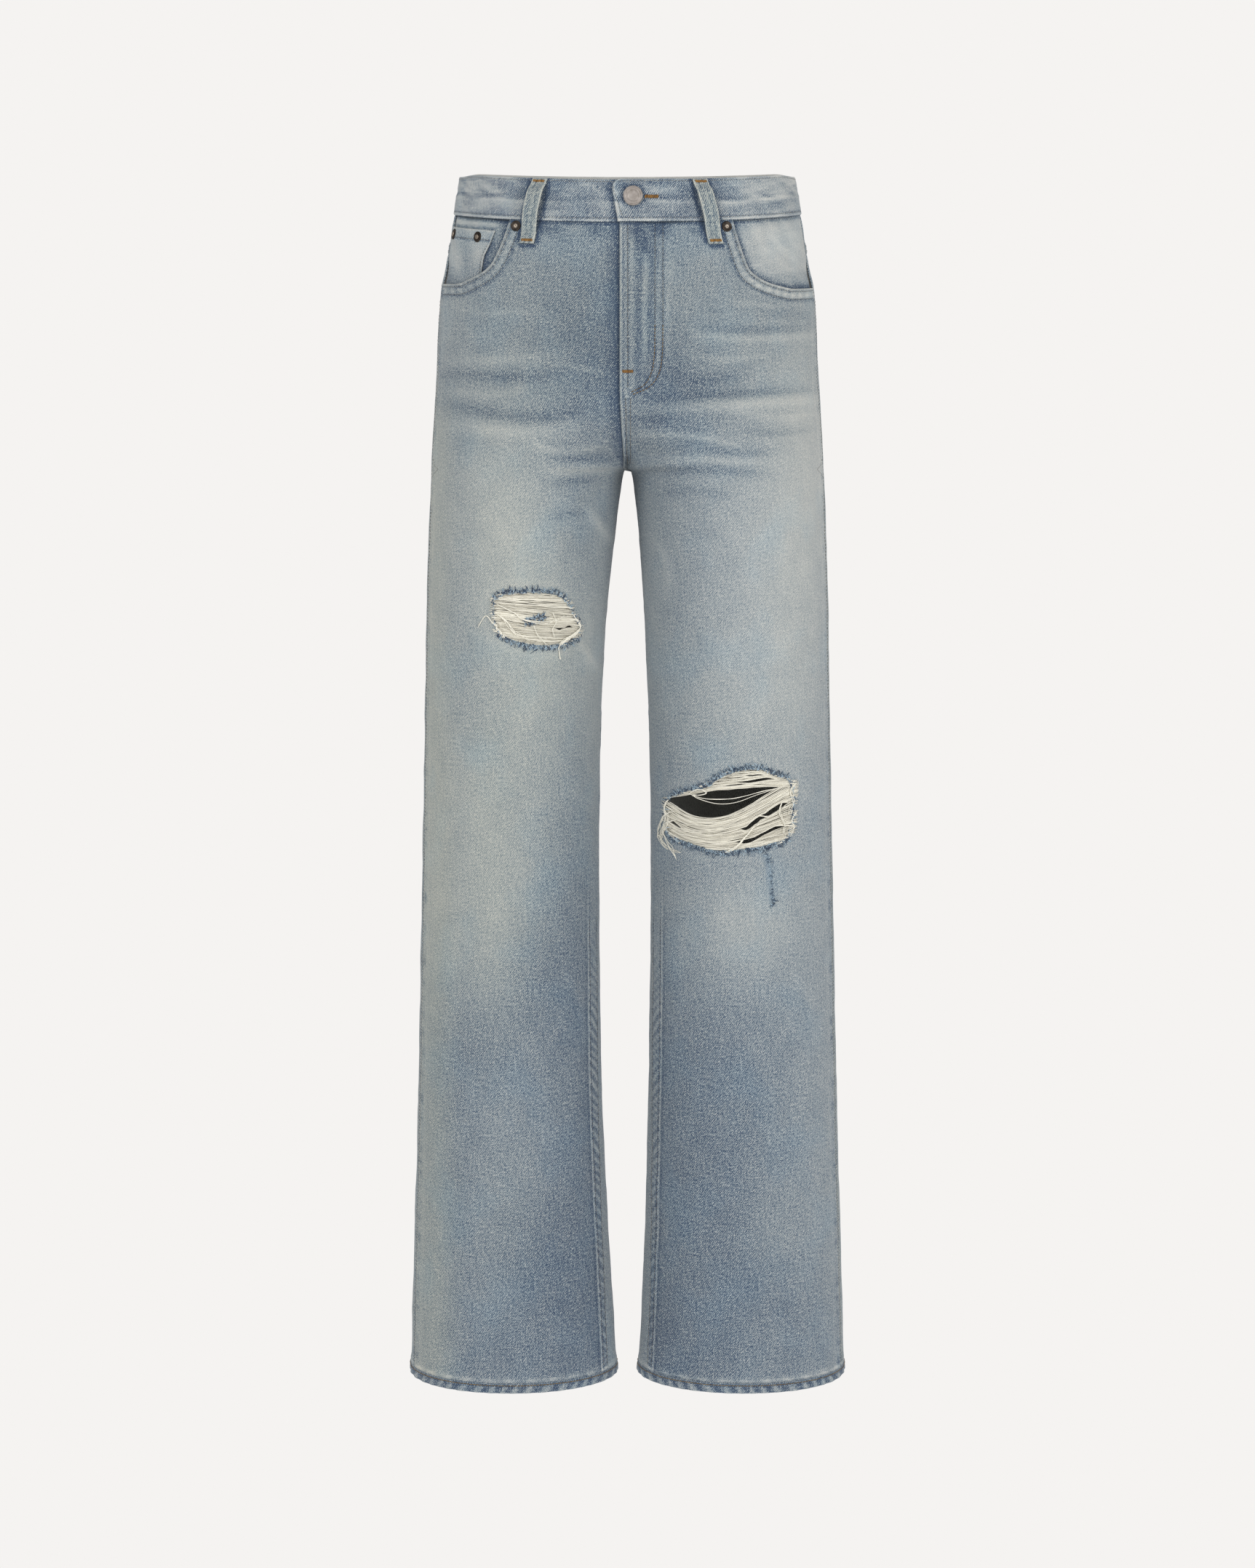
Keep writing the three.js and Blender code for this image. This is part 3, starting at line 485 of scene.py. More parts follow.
class Nodes:
    """Short names for making a material's nodes."""

    def __init__(self, name):
        self.material = bpy.data.materials.new(name)
        self.material.use_nodes = True
        self.tree = self.material.node_tree
        self.tree.nodes.clear()
        self.out = self.tree.nodes.new("ShaderNodeOutputMaterial")
        self.shader = self.tree.nodes.new("ShaderNodeBsdfPrincipled")
        self.tree.links.new(self.shader.outputs[0], self.out.inputs["Surface"])

    def link(self, value, socket):
        if isinstance(value, (int, float, tuple)):
            socket.default_value = value
        else:
            self.tree.links.new(value, socket)

    def math(self, operation, a, b=0.0, c=0.0, clamp=False):
        node = self.tree.nodes.new("ShaderNodeMath")
        node.operation, node.use_clamp = operation, clamp
        for value, socket in zip((a, b, c), node.inputs):
            self.link(value, socket)
        return node.outputs[0]

    def add(self, *values):
        total = values[0]
        for value in values[1:]:
            total = self.math("ADD", total, value)
        return total

    def times(self, a, b):
        return self.math("MULTIPLY", a, b)

    def vector(self, x, y, z=0.0):
        node = self.tree.nodes.new("ShaderNodeCombineXYZ")
        for value, socket in zip((x, y, z), node.inputs):
            self.link(value, socket)
        return node.outputs[0]

    def split(self, vector):
        node = self.tree.nodes.new("ShaderNodeSeparateXYZ")
        self.link(vector, node.inputs[0])
        return node.outputs

    def attribute(self, name):
        node = self.tree.nodes.new("ShaderNodeAttribute")
        node.attribute_name = name
        return node

    def uv(self):
        node = self.tree.nodes.new("ShaderNodeUVMap")
        node.uv_map = "weave"
        return self.split(node.outputs[0])

    def noise(self, vector, detail=2.0, roughness=0.5, scale=1.0):
        """Noise about 0, mostly between -0.5 and 0.5."""
        node = self.tree.nodes.new("ShaderNodeTexNoise")
        node.noise_dimensions = "3D"
        self.link(vector, node.inputs["Vector"])
        node.inputs["Scale"].default_value = scale
        node.inputs["Detail"].default_value = detail
        node.inputs["Roughness"].default_value = roughness
        return self.math("SUBTRACT", node.outputs["Fac"], 0.5)

    def ramp(self, value, stops):
        node = self.tree.nodes.new("ShaderNodeValToRGB")
        self.link(value, node.inputs[0])
        elements = node.color_ramp.elements
        while len(elements) < len(stops):
            elements.new(0.5)
        for element, (at, colour) in zip(elements, stops):
            element.position, element.color = at, colour
        return node.outputs[0]

    def blend(self, share, a, b):
        node = self.tree.nodes.new("ShaderNodeMix")
        node.data_type = "RGBA"
        self.link(share, node.inputs[0])
        self.link(a, node.inputs[6])
        self.link(b, node.inputs[7])
        return node.outputs[2]

    def tinted(self, share, colour, tint):
        """The colour multiplied by a tint, by a share."""
        product = self.blend(share, colour, tint)
        product.node.blend_type = "MULTIPLY"
        return product

    def bump(self, height, distance):
        node = self.tree.nodes.new("ShaderNodeBump")
        node.inputs["Distance"].default_value = distance / 1000
        node.inputs["Strength"].default_value = 1.0
        self.link(height, node.inputs["Height"])
        self.tree.links.new(node.outputs[0], self.shader.inputs["Normal"])


TWILL_WIDTH = 1.8               # from one twill line to the next, measured level
TWILL_SLOPE = 1.35
DENIM_TONES = [(0.0, srgb(62, 77, 100)), (0.22, srgb(94, 110, 127)), (0.42, srgb(130, 142, 151)),
               (0.62, srgb(158, 166, 170)), (0.82, srgb(184, 188, 188)), (1.0, srgb(207, 208, 203))]
WARM_TINT, COOL_TINT = (1.0, 0.985, 0.9, 1.0), (0.94, 1.0, 1.04, 1.0)
FRAYED, WEFT_SIDE = srgb(116, 142, 163), srgb(204, 203, 197)


def denim(name, twill=0.1, fade=0.0, inner=False, lean=1):
    """Washed denim. Its wear_and_shade values say how faded it is, with painted shade and painted highlights
    in the same value, how warm its tint is and how far it frays to indigo.
    """
    n = Nodes(name)
    u, v, _ = n.uv()
    u, v = n.times(u, 1000.0 * lean), n.times(v, 1000.0)
    wear_and_shade = n.split(n.attribute("wear_and_shade").outputs["Vector"])

    def over_cloth(across, down, seed, detail, roughness):
        return n.noise(n.vector(n.times(u, across), n.times(v, down), seed), detail, roughness)

    wobble = over_cloth(0.35, 0.35, 3.0, 2.0, 0.5)
    along_twill = n.math("SUBTRACT", u, n.math("DIVIDE", v, TWILL_SLOPE))
    phase = n.add(n.math("DIVIDE", along_twill, TWILL_WIDTH), n.times(wobble, 1.1))
    line = n.math("SINE", n.times(phase, 2 * math.pi))
    grain = over_cloth(1.1, 1.1, 9.0, 3.0, 0.65)
    fleck = n.noise(n.vector(n.times(along_twill, 0.85), n.times(v, 0.42), 4.0), 2.0, 0.75)
    strong = n.math("MAXIMUM", n.math("SUBTRACT", 2.5, n.times(wear_and_shade[0], 2.3)), 0.62)
    slub = over_cloth(0.8, 0.045, 5.0, 3.0, 0.6)
    weft = over_cloth(0.05, 0.9, 7.0, 2.0, 0.6)
    cloud = over_cloth(0.045, 0.035, 1.0, 4.0, 0.55)
    texture = n.add(n.times(line, twill), n.times(grain, 1.3), n.times(slub, 0.26), n.times(weft, 0.12),
                    n.times(fleck, 1.0))
    level = n.add(wear_and_shade[0], fade, n.times(texture, strong), n.times(cloud, 0.2))
    fray = over_cloth(1.7, 0.8, 2.0, 2.0, 0.6)
    level = n.math("SUBTRACT", level, n.times(wear_and_shade[2], n.add(0.06, n.times(fray, 1.5))))
    colour = n.ramp(level, DENIM_TONES)
    colour = n.tinted(wear_and_shade[1], colour, WARM_TINT)
    tint = over_cloth(0.021, 0.016, 6.0, 2.0, 0.5)
    colour = n.tinted(n.add(0.42, n.times(tint, 4.5), n.times(wear_and_shade[0], -0.75)), colour, COOL_TINT)
    colour = n.blend(n.times(wear_and_shade[2], 0.4), colour, FRAYED)
    if inner:
        colour = n.blend(0.75, colour, WEFT_SIDE)
    n.link(colour, n.shader.inputs["Base Color"])
    n.link(n.add(0.86, n.times(grain, 0.2)), n.shader.inputs["Roughness"])
    n.shader.inputs["Sheen Weight"].default_value = 0.12
    n.shader.inputs["Sheen Roughness"].default_value = 0.5
    n.shader.inputs["Specular IOR Level"].default_value = 0.2
    n.bump(n.add(n.times(line, 0.5), n.times(grain, 1.6), n.times(slub, 0.5)), 0.14)
    return n.material


def yarn(name, dark, light):
    """Thread: its tone goes from dark to light, with a fine twist."""
    n = Nodes(name)
    tone = n.attribute("tone").outputs["Fac"]
    place = n.tree.nodes.new("ShaderNodeTexCoord").outputs["Object"]
    fibre = n.noise(place, 3.0, 0.6, scale=900.0)
    colour = n.ramp(n.add(tone, n.times(fibre, 0.5)), [(0.0, dark), (1.0, light)])
    n.link(colour, n.shader.inputs["Base Color"])
    n.link(n.add(0.85, n.times(fibre, 0.2)), n.shader.inputs["Roughness"])
    n.shader.inputs["Sheen Weight"].default_value = 0.2
    n.shader.inputs["Specular IOR Level"].default_value = 0.2
    n.bump(fibre, 0.1)
    return n.material


def metal(name, colour, worn, roughness, scratch=0.35):
    """Satin metal with fine scratches and darker spots where its plating is rubbed."""
    n = Nodes(name)
    place = n.split(n.tree.nodes.new("ShaderNodeTexCoord").outputs["Object"])
    fine, broad = (n.noise(n.vector(*(n.times(a, size) for a, size in zip(place, sizes))), 3.0)
                   for sizes in ((900.0, 900.0, 2600.0), (260.0, 260.0, 260.0)))
    n.link(n.ramp(n.add(0.5, n.times(broad, 1.4), n.times(fine, 0.5)), [(0.2, worn), (0.75, colour)]),
           n.shader.inputs["Base Color"])
    n.shader.inputs["Metallic"].default_value = 0.9
    n.link(n.add(roughness, n.times(fine, scratch)), n.shader.inputs["Roughness"])
    n.bump(fine, 0.03)
    return n.material


def plain_stage(name, colour):
    n = Nodes(name)
    n.shader.inputs["Base Color"].default_value = (0, 0, 0, 1)
    n.shader.inputs["Specular IOR Level"].default_value = 0.0
    n.shader.inputs["Emission Color"].default_value = colour
    n.shader.inputs["Emission Strength"].default_value = 1.0
    return n.material


OUTSIDE = denim("denim")
INSIDE = denim("denim_inside", inner=True)
FACING = denim("denim_facing", twill=0.1)
LOOP = denim("denim_loop", twill=0.12, fade=0.07)
BAND = denim("denim_band", twill=0.17, lean=-1)
HEM = denim("denim_hem", twill=0.06)
CREAM = yarn("weft_yarn", srgb(158, 152, 136), srgb(250, 247, 234))
INDIGO = yarn("warp_yarn", srgb(36, 56, 84), srgb(180, 202, 216))
GREY_THREAD = yarn("grey_thread", srgb(70, 70, 70), srgb(148, 146, 140))
TAN_THREAD = yarn("tan_thread", srgb(110, 78, 40), srgb(182, 134, 66))
BROWN_THREAD = yarn("brown_thread", srgb(96, 82, 62), srgb(142, 120, 84))
BUTTON = metal("button_metal", srgb(176, 169, 164), srgb(150, 143, 137), 0.55, 0.15)
RIVET = metal("rivet_metal", srgb(74, 66, 60), srgb(36, 32, 30), 0.45)
NIPPLE = metal("rivet_nipple", srgb(168, 158, 146), srgb(112, 98, 84), 0.38)


# ---- wear: how faded the cloth is, by place. x and z are on the front, seen from outside ----

# x, z, reach across, reach down, fade, warmth
FRONT_WEAR = [
    (-110, -285, 50, 95, 0.22, 0.5),        # right thigh
    (-105, -470, 60, 130, 0.16, 0.5),
    (-125, -640, 52, 100, 0.20, 0.6),       # right knee
    (-60, -390, 40, 70, 0.12, 0.3),
    (-26, -400, 18, 210, 0.02, 0.0),
    (-45, -640, 34, 110, -0.10, 0.0),
    (-40, -860, 34, 190, -0.12, 0.0),       # inner right shin
    (-165, -850, 34, 240, -0.09, 0.0),
    (-118, -740, 50, 60, -0.10, 0.0),
    (-112, -900, 45, 70, 0.04, 0.2),
    (-40, -130, 40, 90, -0.12, 0.0),
    (112, -330, 52, 150, 0.20, 0.1),        # left thigh
    (150, -330, 30, 230, 0.16, 0.2),
    (36, -150, 26, 40, -0.12, 0.0),
    (26, -340, 20, 90, 0.04, 0.0),
    (85, -470, 60, 70, 0.10, 0.2),          # left knee
    (102, -640, 50, 55, 0.22, 0.2),
    (60, -800, 70, 130, -0.14, 0.0),
    (90, -970, 80, 90, -0.10, 0.0),
    (40, -1050, 60, 50, -0.14, 0.0),
    (-52, -1010, 60, 80, -0.12, 0.0),
    (-125, -1040, 50, 40, -0.08, 0.0),
    (30, -190, 30, 30, -0.06, 0.0),
    (-26, -165, 18, 60, -0.12, 0.0),
    (-70, -110, 120, 110, 0.0, 0.42),
    (70, -110, 120, 110, 0.0, 0.3),
    (-90, -460, 80, 240, 0.0, 0.16),
    (-30, -110, 60, 60, -0.03, 0.0),
    (-30, -320, 22, 50, -0.04, 0.0),
    (-60, -940, 60, 190, -0.035, 0.0),
    (66, -930, 60, 190, -0.045, 0.0),
    (120, -335, 40, 60, -0.03, 0.0),
    (-118, -540, 30, 120, -0.05, 0.0),
    (22, -120, 18, 90, -0.12, 0.0),
    (58, -195, 32, 44, -0.11, 0.0),
    (-82, -680, 26, 50, -0.10, 0.0),
    (-82, -930, 40, 50, -0.10, 0.0),
    (26, -1000, 24, 60, -0.08, 0.0),
    (166, -1020, 34, 60, -0.09, 0.0),
    (-168, -95, 26, 50, 0.09, 0.0),
    (95, -545, 70, 60, -0.06, 0.0),
    (-135, -520, 30, 60, 0.08, 0.2),
    (-24, -430, 12, 200, 0.12, 0.0),
    (20, -380, 12, 100, 0.08, 0.0),
    (132, -915, 22, 40, 0.08, 0.1),
    (168, -200, 30, 110, 0.14, 0.0),
]


def wear_at(table, x, z):
    fade, warm = np.zeros(x.shape), np.zeros(x.shape)
    for at_x, at_z, wide, tall, more, warmth in table:
        share = np.exp(-(((x - at_x) / wide) ** 2 + ((z - at_z) / tall) ** 2))
        fade += more * share
        warm += warmth * share
    return fade, warm


# Creases: a line in x and z, its half width, how high it stands and how much paler it is
CREASES = [
    ([(5, -179), (79, -176), (168, -171)], 4.5, -0.7, -0.10),
    ([(12, -187), (70, -186), (168, -180)], 6.5, 0.9, 0.12),
    ([(60, -124), (110, -127), (168, -124)], 4.5, 0.5, 0.09),
    ([(60, -116), (110, -119), (165, -116)], 4.0, -0.4, -0.08),
    ([(36, -158), (62, -165), (96, -158)], 7.0, -0.7, -0.10),
    ([(100, -98), (130, -103), (163, -107)], 6.0, -0.3, -0.06),
    ([(5, -195), (22, -199), (38, -197)], 4.0, -0.8, -0.10),
    ([(7, -210), (60, -212), (92, -219)], 3.0, 0.8, 0.13),
    ([(60, -222), (90, -226), (130, -224)], 5.0, -0.7, -0.09),
    ([(25, -244), (70, -240), (120, -244)], 5.0, -0.6, -0.09),
    ([(30, -233), (70, -231), (120, -234)], 5.0, 0.6, 0.07),
    ([(24, -262), (60, -258), (90, -264)], 4.0, -0.5, -0.06),
    ([(-168, -158), (-81, -161), (-47, -153)], 5.5, -0.7, -0.10),
    ([(-160, -146), (-100, -146), (-50, -140)], 6.0, 0.6, 0.07),
    ([(-162, -185), (-81, -195), (-31, -188)], 6.0, -0.8, -0.11),
    ([(-158, -202), (-90, -208), (-40, -203)], 7.0, 0.7, 0.08),
    ([(-67, -229), (-37, -230), (-7, -232)], 4.5, -0.8, -0.11),
    ([(-70, -242), (-40, -240), (-9, -241)], 4.5, 0.8, 0.10),
    ([(-67, -253), (-45, -251), (-22, -249)], 4.0, -0.5, -0.08),
    ([(-69, -281), (-50, -278), (-32, -279)], 4.5, -0.5, -0.07),
    ([(-34, -274), (-24, -290), (-13, -306)], 4.5, 0.8, 0.10),
    ([(-43, -387), (-32, -404), (-22, -421)], 4.5, 0.6, 0.07),
    ([(22, -300), (34, -318), (38, -345)], 5.0, 0.5, 0.06),
    ([(-64, -151), (-36, -154), (-9, -161)], 3.0, 0.5, 0.10),
    ([(-84, -218), (-50, -226), (-20, -219)], 3.5, 0.6, 0.10),
    ([(-158, -172), (-120, -176), (-84, -172)], 3.0, 0.5, 0.08),
    ([(50, -142), (84, -146), (124, -141)], 3.0, 0.4, 0.07),
    ([(98, -192), (132, -196), (166, -192)], 3.5, 0.5, 0.07),
    ([(96, -206), (130, -209), (164, -205)], 3.0, -0.5, -0.08),
    ([(84, -92), (112, -96), (140, -98)], 3.5, 0.4, 0.07),
    ([(-150, -98), (-112, -102), (-76, -96)], 4.0, 0.3, 0.05),
]


def add_creases(cloth, table):
    for line, wide, high, paler in table:
        curve = smooth_curve(line, 6)
        distance, _, _, run = nearest(curve, cloth.x, cloth.z)
        long = np.linalg.norm(np.diff(curve, axis=0), axis=1).sum()
        taper = np.sqrt(np.clip(np.sin(math.pi * np.clip(run / long, 0.02, 0.98)), 0, 1))
        share = hump(distance, 0, 0.85 * wide) * taper
        cloth.raise_by(1.3 * high * share)
        cloth.fade += 1.9 * paler * share


def seam_edge(cloth, distance, beyond=11.0):
    """A pressed-open seam at distance 0: a groove, the fold beside it and the allowance showing through."""
    z = cloth.z
    groove = -0.55 * hump(distance, 0, 0.9)
    fold = 0.45 * hump(distance, 2.2, 1.4)
    allowance = 0.28 * (1 - ease(beyond - 1.5, beyond + 1, distance))
    puckers = 0.22 * np.sin(z / 3.1 + 1.5 * np.sin(z / 17)) * hump(distance, 3.5, 3.0)
    cloth.raise_by(groove + fold + allowance + puckers)
    cloth.fade += 0.13 * hump(distance, 1.8, 1.3) - 0.1 * hump(distance, 0, 0.8)
    # Painted shade of puckers: dark blotches a little way from the seam, unevenly spaced down it
    beat = np.sin(z / 2.7 + 2.6 * np.sin(z / 23.0) + 5 * np.sin(z / 71.0) + cloth.side)
    uneven = 0.6 + 0.4 * np.sin(z / 9.7 + 3 * cloth.side)
    low = 0.16 + 0.16 * ease(-480, -640, z)
    cloth.fade -= low * uneven * ease(0.0, 0.9, beat) * hump(distance, 5.5, 2.8)
    cloth.fade += 0.05 * hump(distance, 12.5, 2.5)


# ---- fronts ----

def level_rows(heights, columns):
    """The height of every point of a grid whose rows are level."""
    return np.repeat(heights[:, None], columns, axis=1)


def levels(top, low, step, fine=()):
    """Heights from top to low, a step apart, and closer in each fine stretch (high, low, step)."""
    found = [top]
    while found[-1] > low + 0.4 * step:
        here = found[-1]
        found.append(here - min([step] + [s for high, end, s in fine if end < here <= high]))
    found[-1] = low
    return np.array(found)


def column_shares(count):
    """Shares across a panel, with its columns closer together near both seams."""
    t = np.linspace(0, 1, count)
    return t - 0.05 * np.sin(2 * math.pi * t)


def lap_width(z):
    """How far the left front laps over the middle at each row. It is drawn in towards the crotch."""
    wanted = LAP - 3.0 * (1 - ease(CROTCH_Z, -172, z))
    return length_at_x("front", wanted, z) * ease(CROTCH_Z - 3, CROTCH_Z, z)


def lap_lift(x, z):
    lift = 1.3 * ease(CROTCH_Z - 4, CROTCH_Z, z) + (LAP_LIFT - 1.3) * ease(-205, -188, z)
    return lift * (1 - ease(4, 26, x))


def mid_leg(kind, z):
    """The running length at the middle of the leg, from which the weave is measured."""
    heights, which = np.unique(z, return_inverse=True)
    return length_at_x(kind, np.full(len(heights), 100.0), heights)[which].reshape(z.shape)


SIDES = {"left": 1, "right": -1}
SCOOPS = {1: SCOOP_LEFT, -1: SCOOP_RIGHT}
KNEE_EDGE = closed_curve(KNEE_HOLE, 1.2)
THIGH_EDGE = closed_curve(THIGH_HOLE, 1.2)
PANEL_TOP, PANEL_LOW = BAND_LOW - 0.3, HEM_Z + HEM_HEIGHT


def ragged(edge, size, seed):
    """A torn edge: the curve with small uneven teeth, mostly up and down."""
    wild = np.random.default_rng(seed)
    moved = edge[:-1].copy()
    moved[:, 1] += wild.normal(0, size, len(moved))
    moved[:, 0] += wild.normal(0, size * 0.5, len(moved))
    return moved


FRONT_COLUMNS, BACK_COLUMNS, YOKE_COLUMNS = 101, 89, 70
FRONT_ROW, BACK_ROW = 3.3, 4.8  # from one row of points to the next, where nothing fine shows


def front_cloth(side):
    tear = (-338, -402, 1.4) if side < 0 else (-492, -626, 1.6)
    rows = levels(PANEL_TOP, PANEL_LOW, FRONT_ROW,
                  [(-17, -96, 2.0), (-228, -252, 1.6), tear, (PANEL_LOW + 20, PANEL_LOW, 1.8)])
    share = column_shares(FRONT_COLUMNS)
    total = total_length("front", rows)[:, None]
    start = -lap_width(rows)[:, None] if side > 0 else np.zeros((len(rows), 1))
    across = mix(start, total, share[None])
    z = level_rows(rows, across.shape[1])
    x, y, _ = along("front", np.abs(across), z)
    x = np.where(across < 0, -x, x) * side
    cloth = Cloth(x, y, z, across, side)
    cloth.lap = lap_width(rows)[:, None]
    cloth.to_seam = total - across
    cloth.u = side * (across - mid_leg("front", z))
    if side > 0:
        cloth.raise_by(lap_lift(x, z))
        cloth.normals = cloth.outward()
    return cloth


def front_wear(cloth, side):
    x, z = cloth.x, cloth.z
    fade, warm = wear_at(FRONT_WEAR, x, z)
    outer = ease(140, 176, np.abs(x)) * ease(-150, -215, z)
    cloth.fade += fade + outer * (0.16 if side < 0 else 0.06)
    cloth.warm += warm + outer * (0.8 if side < 0 else 0.0)


# The inseam's two rows of stitching: how far from the middle they are at each height
INSEAM_ROWS = [[(-480, 24.6), (-600, 26.2), (-742, 25.4), (-866, 22.6), (-982, 18.8), (-1066, 16)],
               [(-480, 30), (-600, 32.2), (-742, 31.6), (-866, 29), (-982, 25), (-1066, 21.6)]]


def shape_inseam(cloth):
    """The felled inseam: a raised strip roped by its stitching, on the inner edge of the lower leg."""
    shows = ease(-545, -720, cloth.z)
    rows = cloth.z[:, 0]
    first, second = (cloth.across - length_at_x("front", through(row, rows), rows)[:, None]
                     for row in INSEAM_ROWS)
    between = ease(-1.5, 0.5, first) * (1 - ease(0.5, 2.2, second))
    rope = np.sin(cloth.z / 0.8 + 1.4 * np.sin(cloth.z / 9.0) + second * 0.5) * ease(-600, -760, cloth.z)
    cloth.raise_by(shows * (0.75 * (1 - ease(0.5, 2.2, second)) + 0.2 * rope * between
                            - 0.35 * hump(first, 0, 0.7) - 0.35 * hump(second, 0, 0.7)))
    # Pale along the edges of the raised strip: worn ridges and painted highlights
    cloth.fade += shows * (0.42 * hump(second, 2.0, 1.0) + 0.34 * hump(first, -1.8, 0.9)
                           - 0.42 * hump(first, 0, 0.9) - 0.42 * hump(second, 0, 0.9)
                           + (0.08 + 0.26 * rope) * between - 0.2 * hump(second, 5.0, 1.8))


def loop_middle(top, low, z):
    """How far from the middle of the garment a belt loop's own middle is at each height."""
    return mix(top, low, (LOOP_TOP - z) / (LOOP_TOP - LOOP_FOOT))


def loop_painted_shadow(cloth, where):
    """Painted shadow close beside each belt loop and below its foot."""
    x, z = cloth.x, cloth.z
    for _, top, low, kind in LOOPS:
        if kind == "front face" and (x * top > 0).any():
            off = np.abs(x - loop_middle(top, low, z)) - LOOP_WIDTH / 2
            beside = hump(off, 0.9, 1.8) * ease(-39, -36, z)
            below = (off < 0) * hump(z, -39.8, 1.6)
            cloth.fade -= 0.95 * where * np.maximum(beside, below)


def shape_scoop(cloth, scoop):
    """A scoop pocket's turned edge, with its two rows of stitching pulled in."""
    z = cloth.z
    near = z > -110
    distance, _, _, run = nearest(smooth_curve(scoop, 3), cloth.x, z)
    roll = 0.55 * hump(distance, 1.3, 1.2) + 0.3 * (1 - ease(8.5, 11, distance))
    rope = np.sin(run / 1.15 + 1.3 * np.sin(run / 8))
    pull = -0.25 * hump(distance, 2.5, 0.7) - 0.3 * hump(distance, 9.3, 0.8)
    cloth.raise_by(near * (roll + pull + 0.16 * rope * hump(distance, 5.5, 2.8)))
    low, right_way = ease(-58, -74, z), cloth.side > 0
    # Pale along the turned edge: its worn fold and a painted highlight
    cloth.fade += near * (0.5 * hump(distance, 0.6, 1.0) + 0.16 * hump(distance, 6, 2)
                          - 0.36 * hump(distance, 10.3, 1.2) - 0.3 * hump(distance, 2.6, 0.8)
                          - (0.1 + 0.03 * low) * rope * hump(distance, 6, 2.6)
                          + (0.11 if right_way else -0.13) * low * hump(distance, 5, 4.5))


def shape_tear(cloth, edge, seed):
    """The cloth round a rip: its edge lifts and crinkles, and is frayed to indigo."""
    x, z = cloth.x, cloth.z
    distance, _, near_z, run = nearest(edge, x, z)
    wild = ripple(run, distance, 9, seed) * hump(distance, 0, 3.2)
    level = ease(0.25, 0.8, np.abs(z - near_z) / np.maximum(distance, 1e-6))
    reach = mix(1.3, 4.6, level)
    cloth.raise_by(0.5 * hump(distance, 0, 4.0) + 0.35 * wild)
    cloth.dark += np.exp(-((distance / reach) ** 4)) * (0.62 + 0.4 * ripple(x, z, 3.6, seed + 1))
    cloth.fade += 0.05 * hump(distance, 9, 3.5)


FLY_ROWS = [[(23.4, -20), (23.4, -112), (23.0, -140), (20.5, -157), (14, -168), (2, -174.5)],
            [(30.2, -20), (30.2, -112), (29.6, -143), (26, -160), (17, -170.5), (3, -176.5)]]
CROTCH_ROWS = [[(-1.9, -178), (-1.6, -205), (-0.9, -236)], [(2.8, -178), (3.0, -205), (3.4, -236)]]
SCAR = [(123, -577.3), (125, -590), (127, -604), (128.5, -622.4)]


def shape_fly(cloth):
    """The fly's turned edge, the ridge of the zip tape under it and the J of stitching."""
    x, z, across = cloth.x, cloth.z, cloth.across
    top = ease(-182, -172, z)
    edge = across + cloth.lap
    cloth.raise_by(top * (0.45 * hump(edge, 1.4, 1.3) - 0.2 * hump(x, 0.2, 0.8)))
    cloth.raise_by(0.7 * hump(x, 15, 3.5) * ease(-130, -110, z) * ease(-48, -64, z))
    cloth.fade += (0.28 * hump(edge, 0.9, 1.2) - 0.2 * hump(edge, 3.2, 1.0) + 0.08 * hump(edge, 5, 1.2)
                   + top * (-0.18 * hump(x, 0.6, 0.9) + 0.1 * hump(x, 3.5, 2)
                            - 0.14 * hump(x, 8.5, 2.5)))
    fly = ease(-160, -130, z) * ease(-30, -60, z)
    streaks = ((15, 2.0, 0.2), (20, 1.4, -0.12), (26.5, 2.2, 0.12), (11.5, 1.3, -0.1), (35, 4, 0.12))
    for at, wide, paler in streaks:
        cloth.fade += paler * hump(x + 1.2 * np.sin(z / 23), at, wide) * fly
    # Painted shade below the waistband beside the fly, over the puckers there
    cloth.fade -= 0.44 * hump(x + 0.3 * z, 3, 6) * hump(z, -34, 14)
    cloth.fade -= 0.25 * hump(x, 26, 9) * hump(z, -24, 6)
    # Each row of the J: a groove with painted shade in it, and paler cloth beside it where it curls
    for row in FLY_ROWS:
        distance = nearest(smooth_curve(row, 4), x, z)[0]
        curl = ease(-120, -150, z)
        cloth.raise_by(-0.4 * hump(distance, 0, 0.9))
        cloth.fade -= (0.16 + 0.2 * curl) * hump(distance, 0, 1.1)
        cloth.fade += 0.12 * curl * hump(distance, 3.0, 1.0)
    seam = ease(-170, -180, z) * ease(-250, -238, z)
    rows = [x - through(row, z) for row in CROTCH_ROWS]
    grooves = hump(rows[0], 0, 0.8) + hump(rows[1], 0, 0.8)
    cloth.raise_by(seam * (0.7 * hump(rows[0], 2.3, 2.2) - 0.4 * grooves))
    cloth.fade += seam * (0.16 * hump(rows[0], 2.3, 1.2) - 0.26 * grooves - 0.16 * hump(rows[1], 2.6, 1.6)
                          - 0.25 * ease(-215, -238, z) * hump(across, 0, 6))


def pucker_over_hem(cloth):
    over = hump(cloth.z, PANEL_LOW + 2.5, 3.2)
    cloth.raise_by(over * (0.35 + 0.3 * np.sin(cloth.across / 1.7 + np.sin(cloth.across / 8))))


def shape_scar(cloth):
    """The short frayed line that runs down from the knee's rip."""
    distance, _, _, run = nearest(smooth_curve(SCAR, 3), cloth.x, cloth.z)
    cloth.dark += np.exp(-((distance / 2.3) ** 4)) * (0.85 + 0.25 * np.sin(run / 2.6))
    cloth.raise_by(0.4 * hump(distance, 0, 1.6))


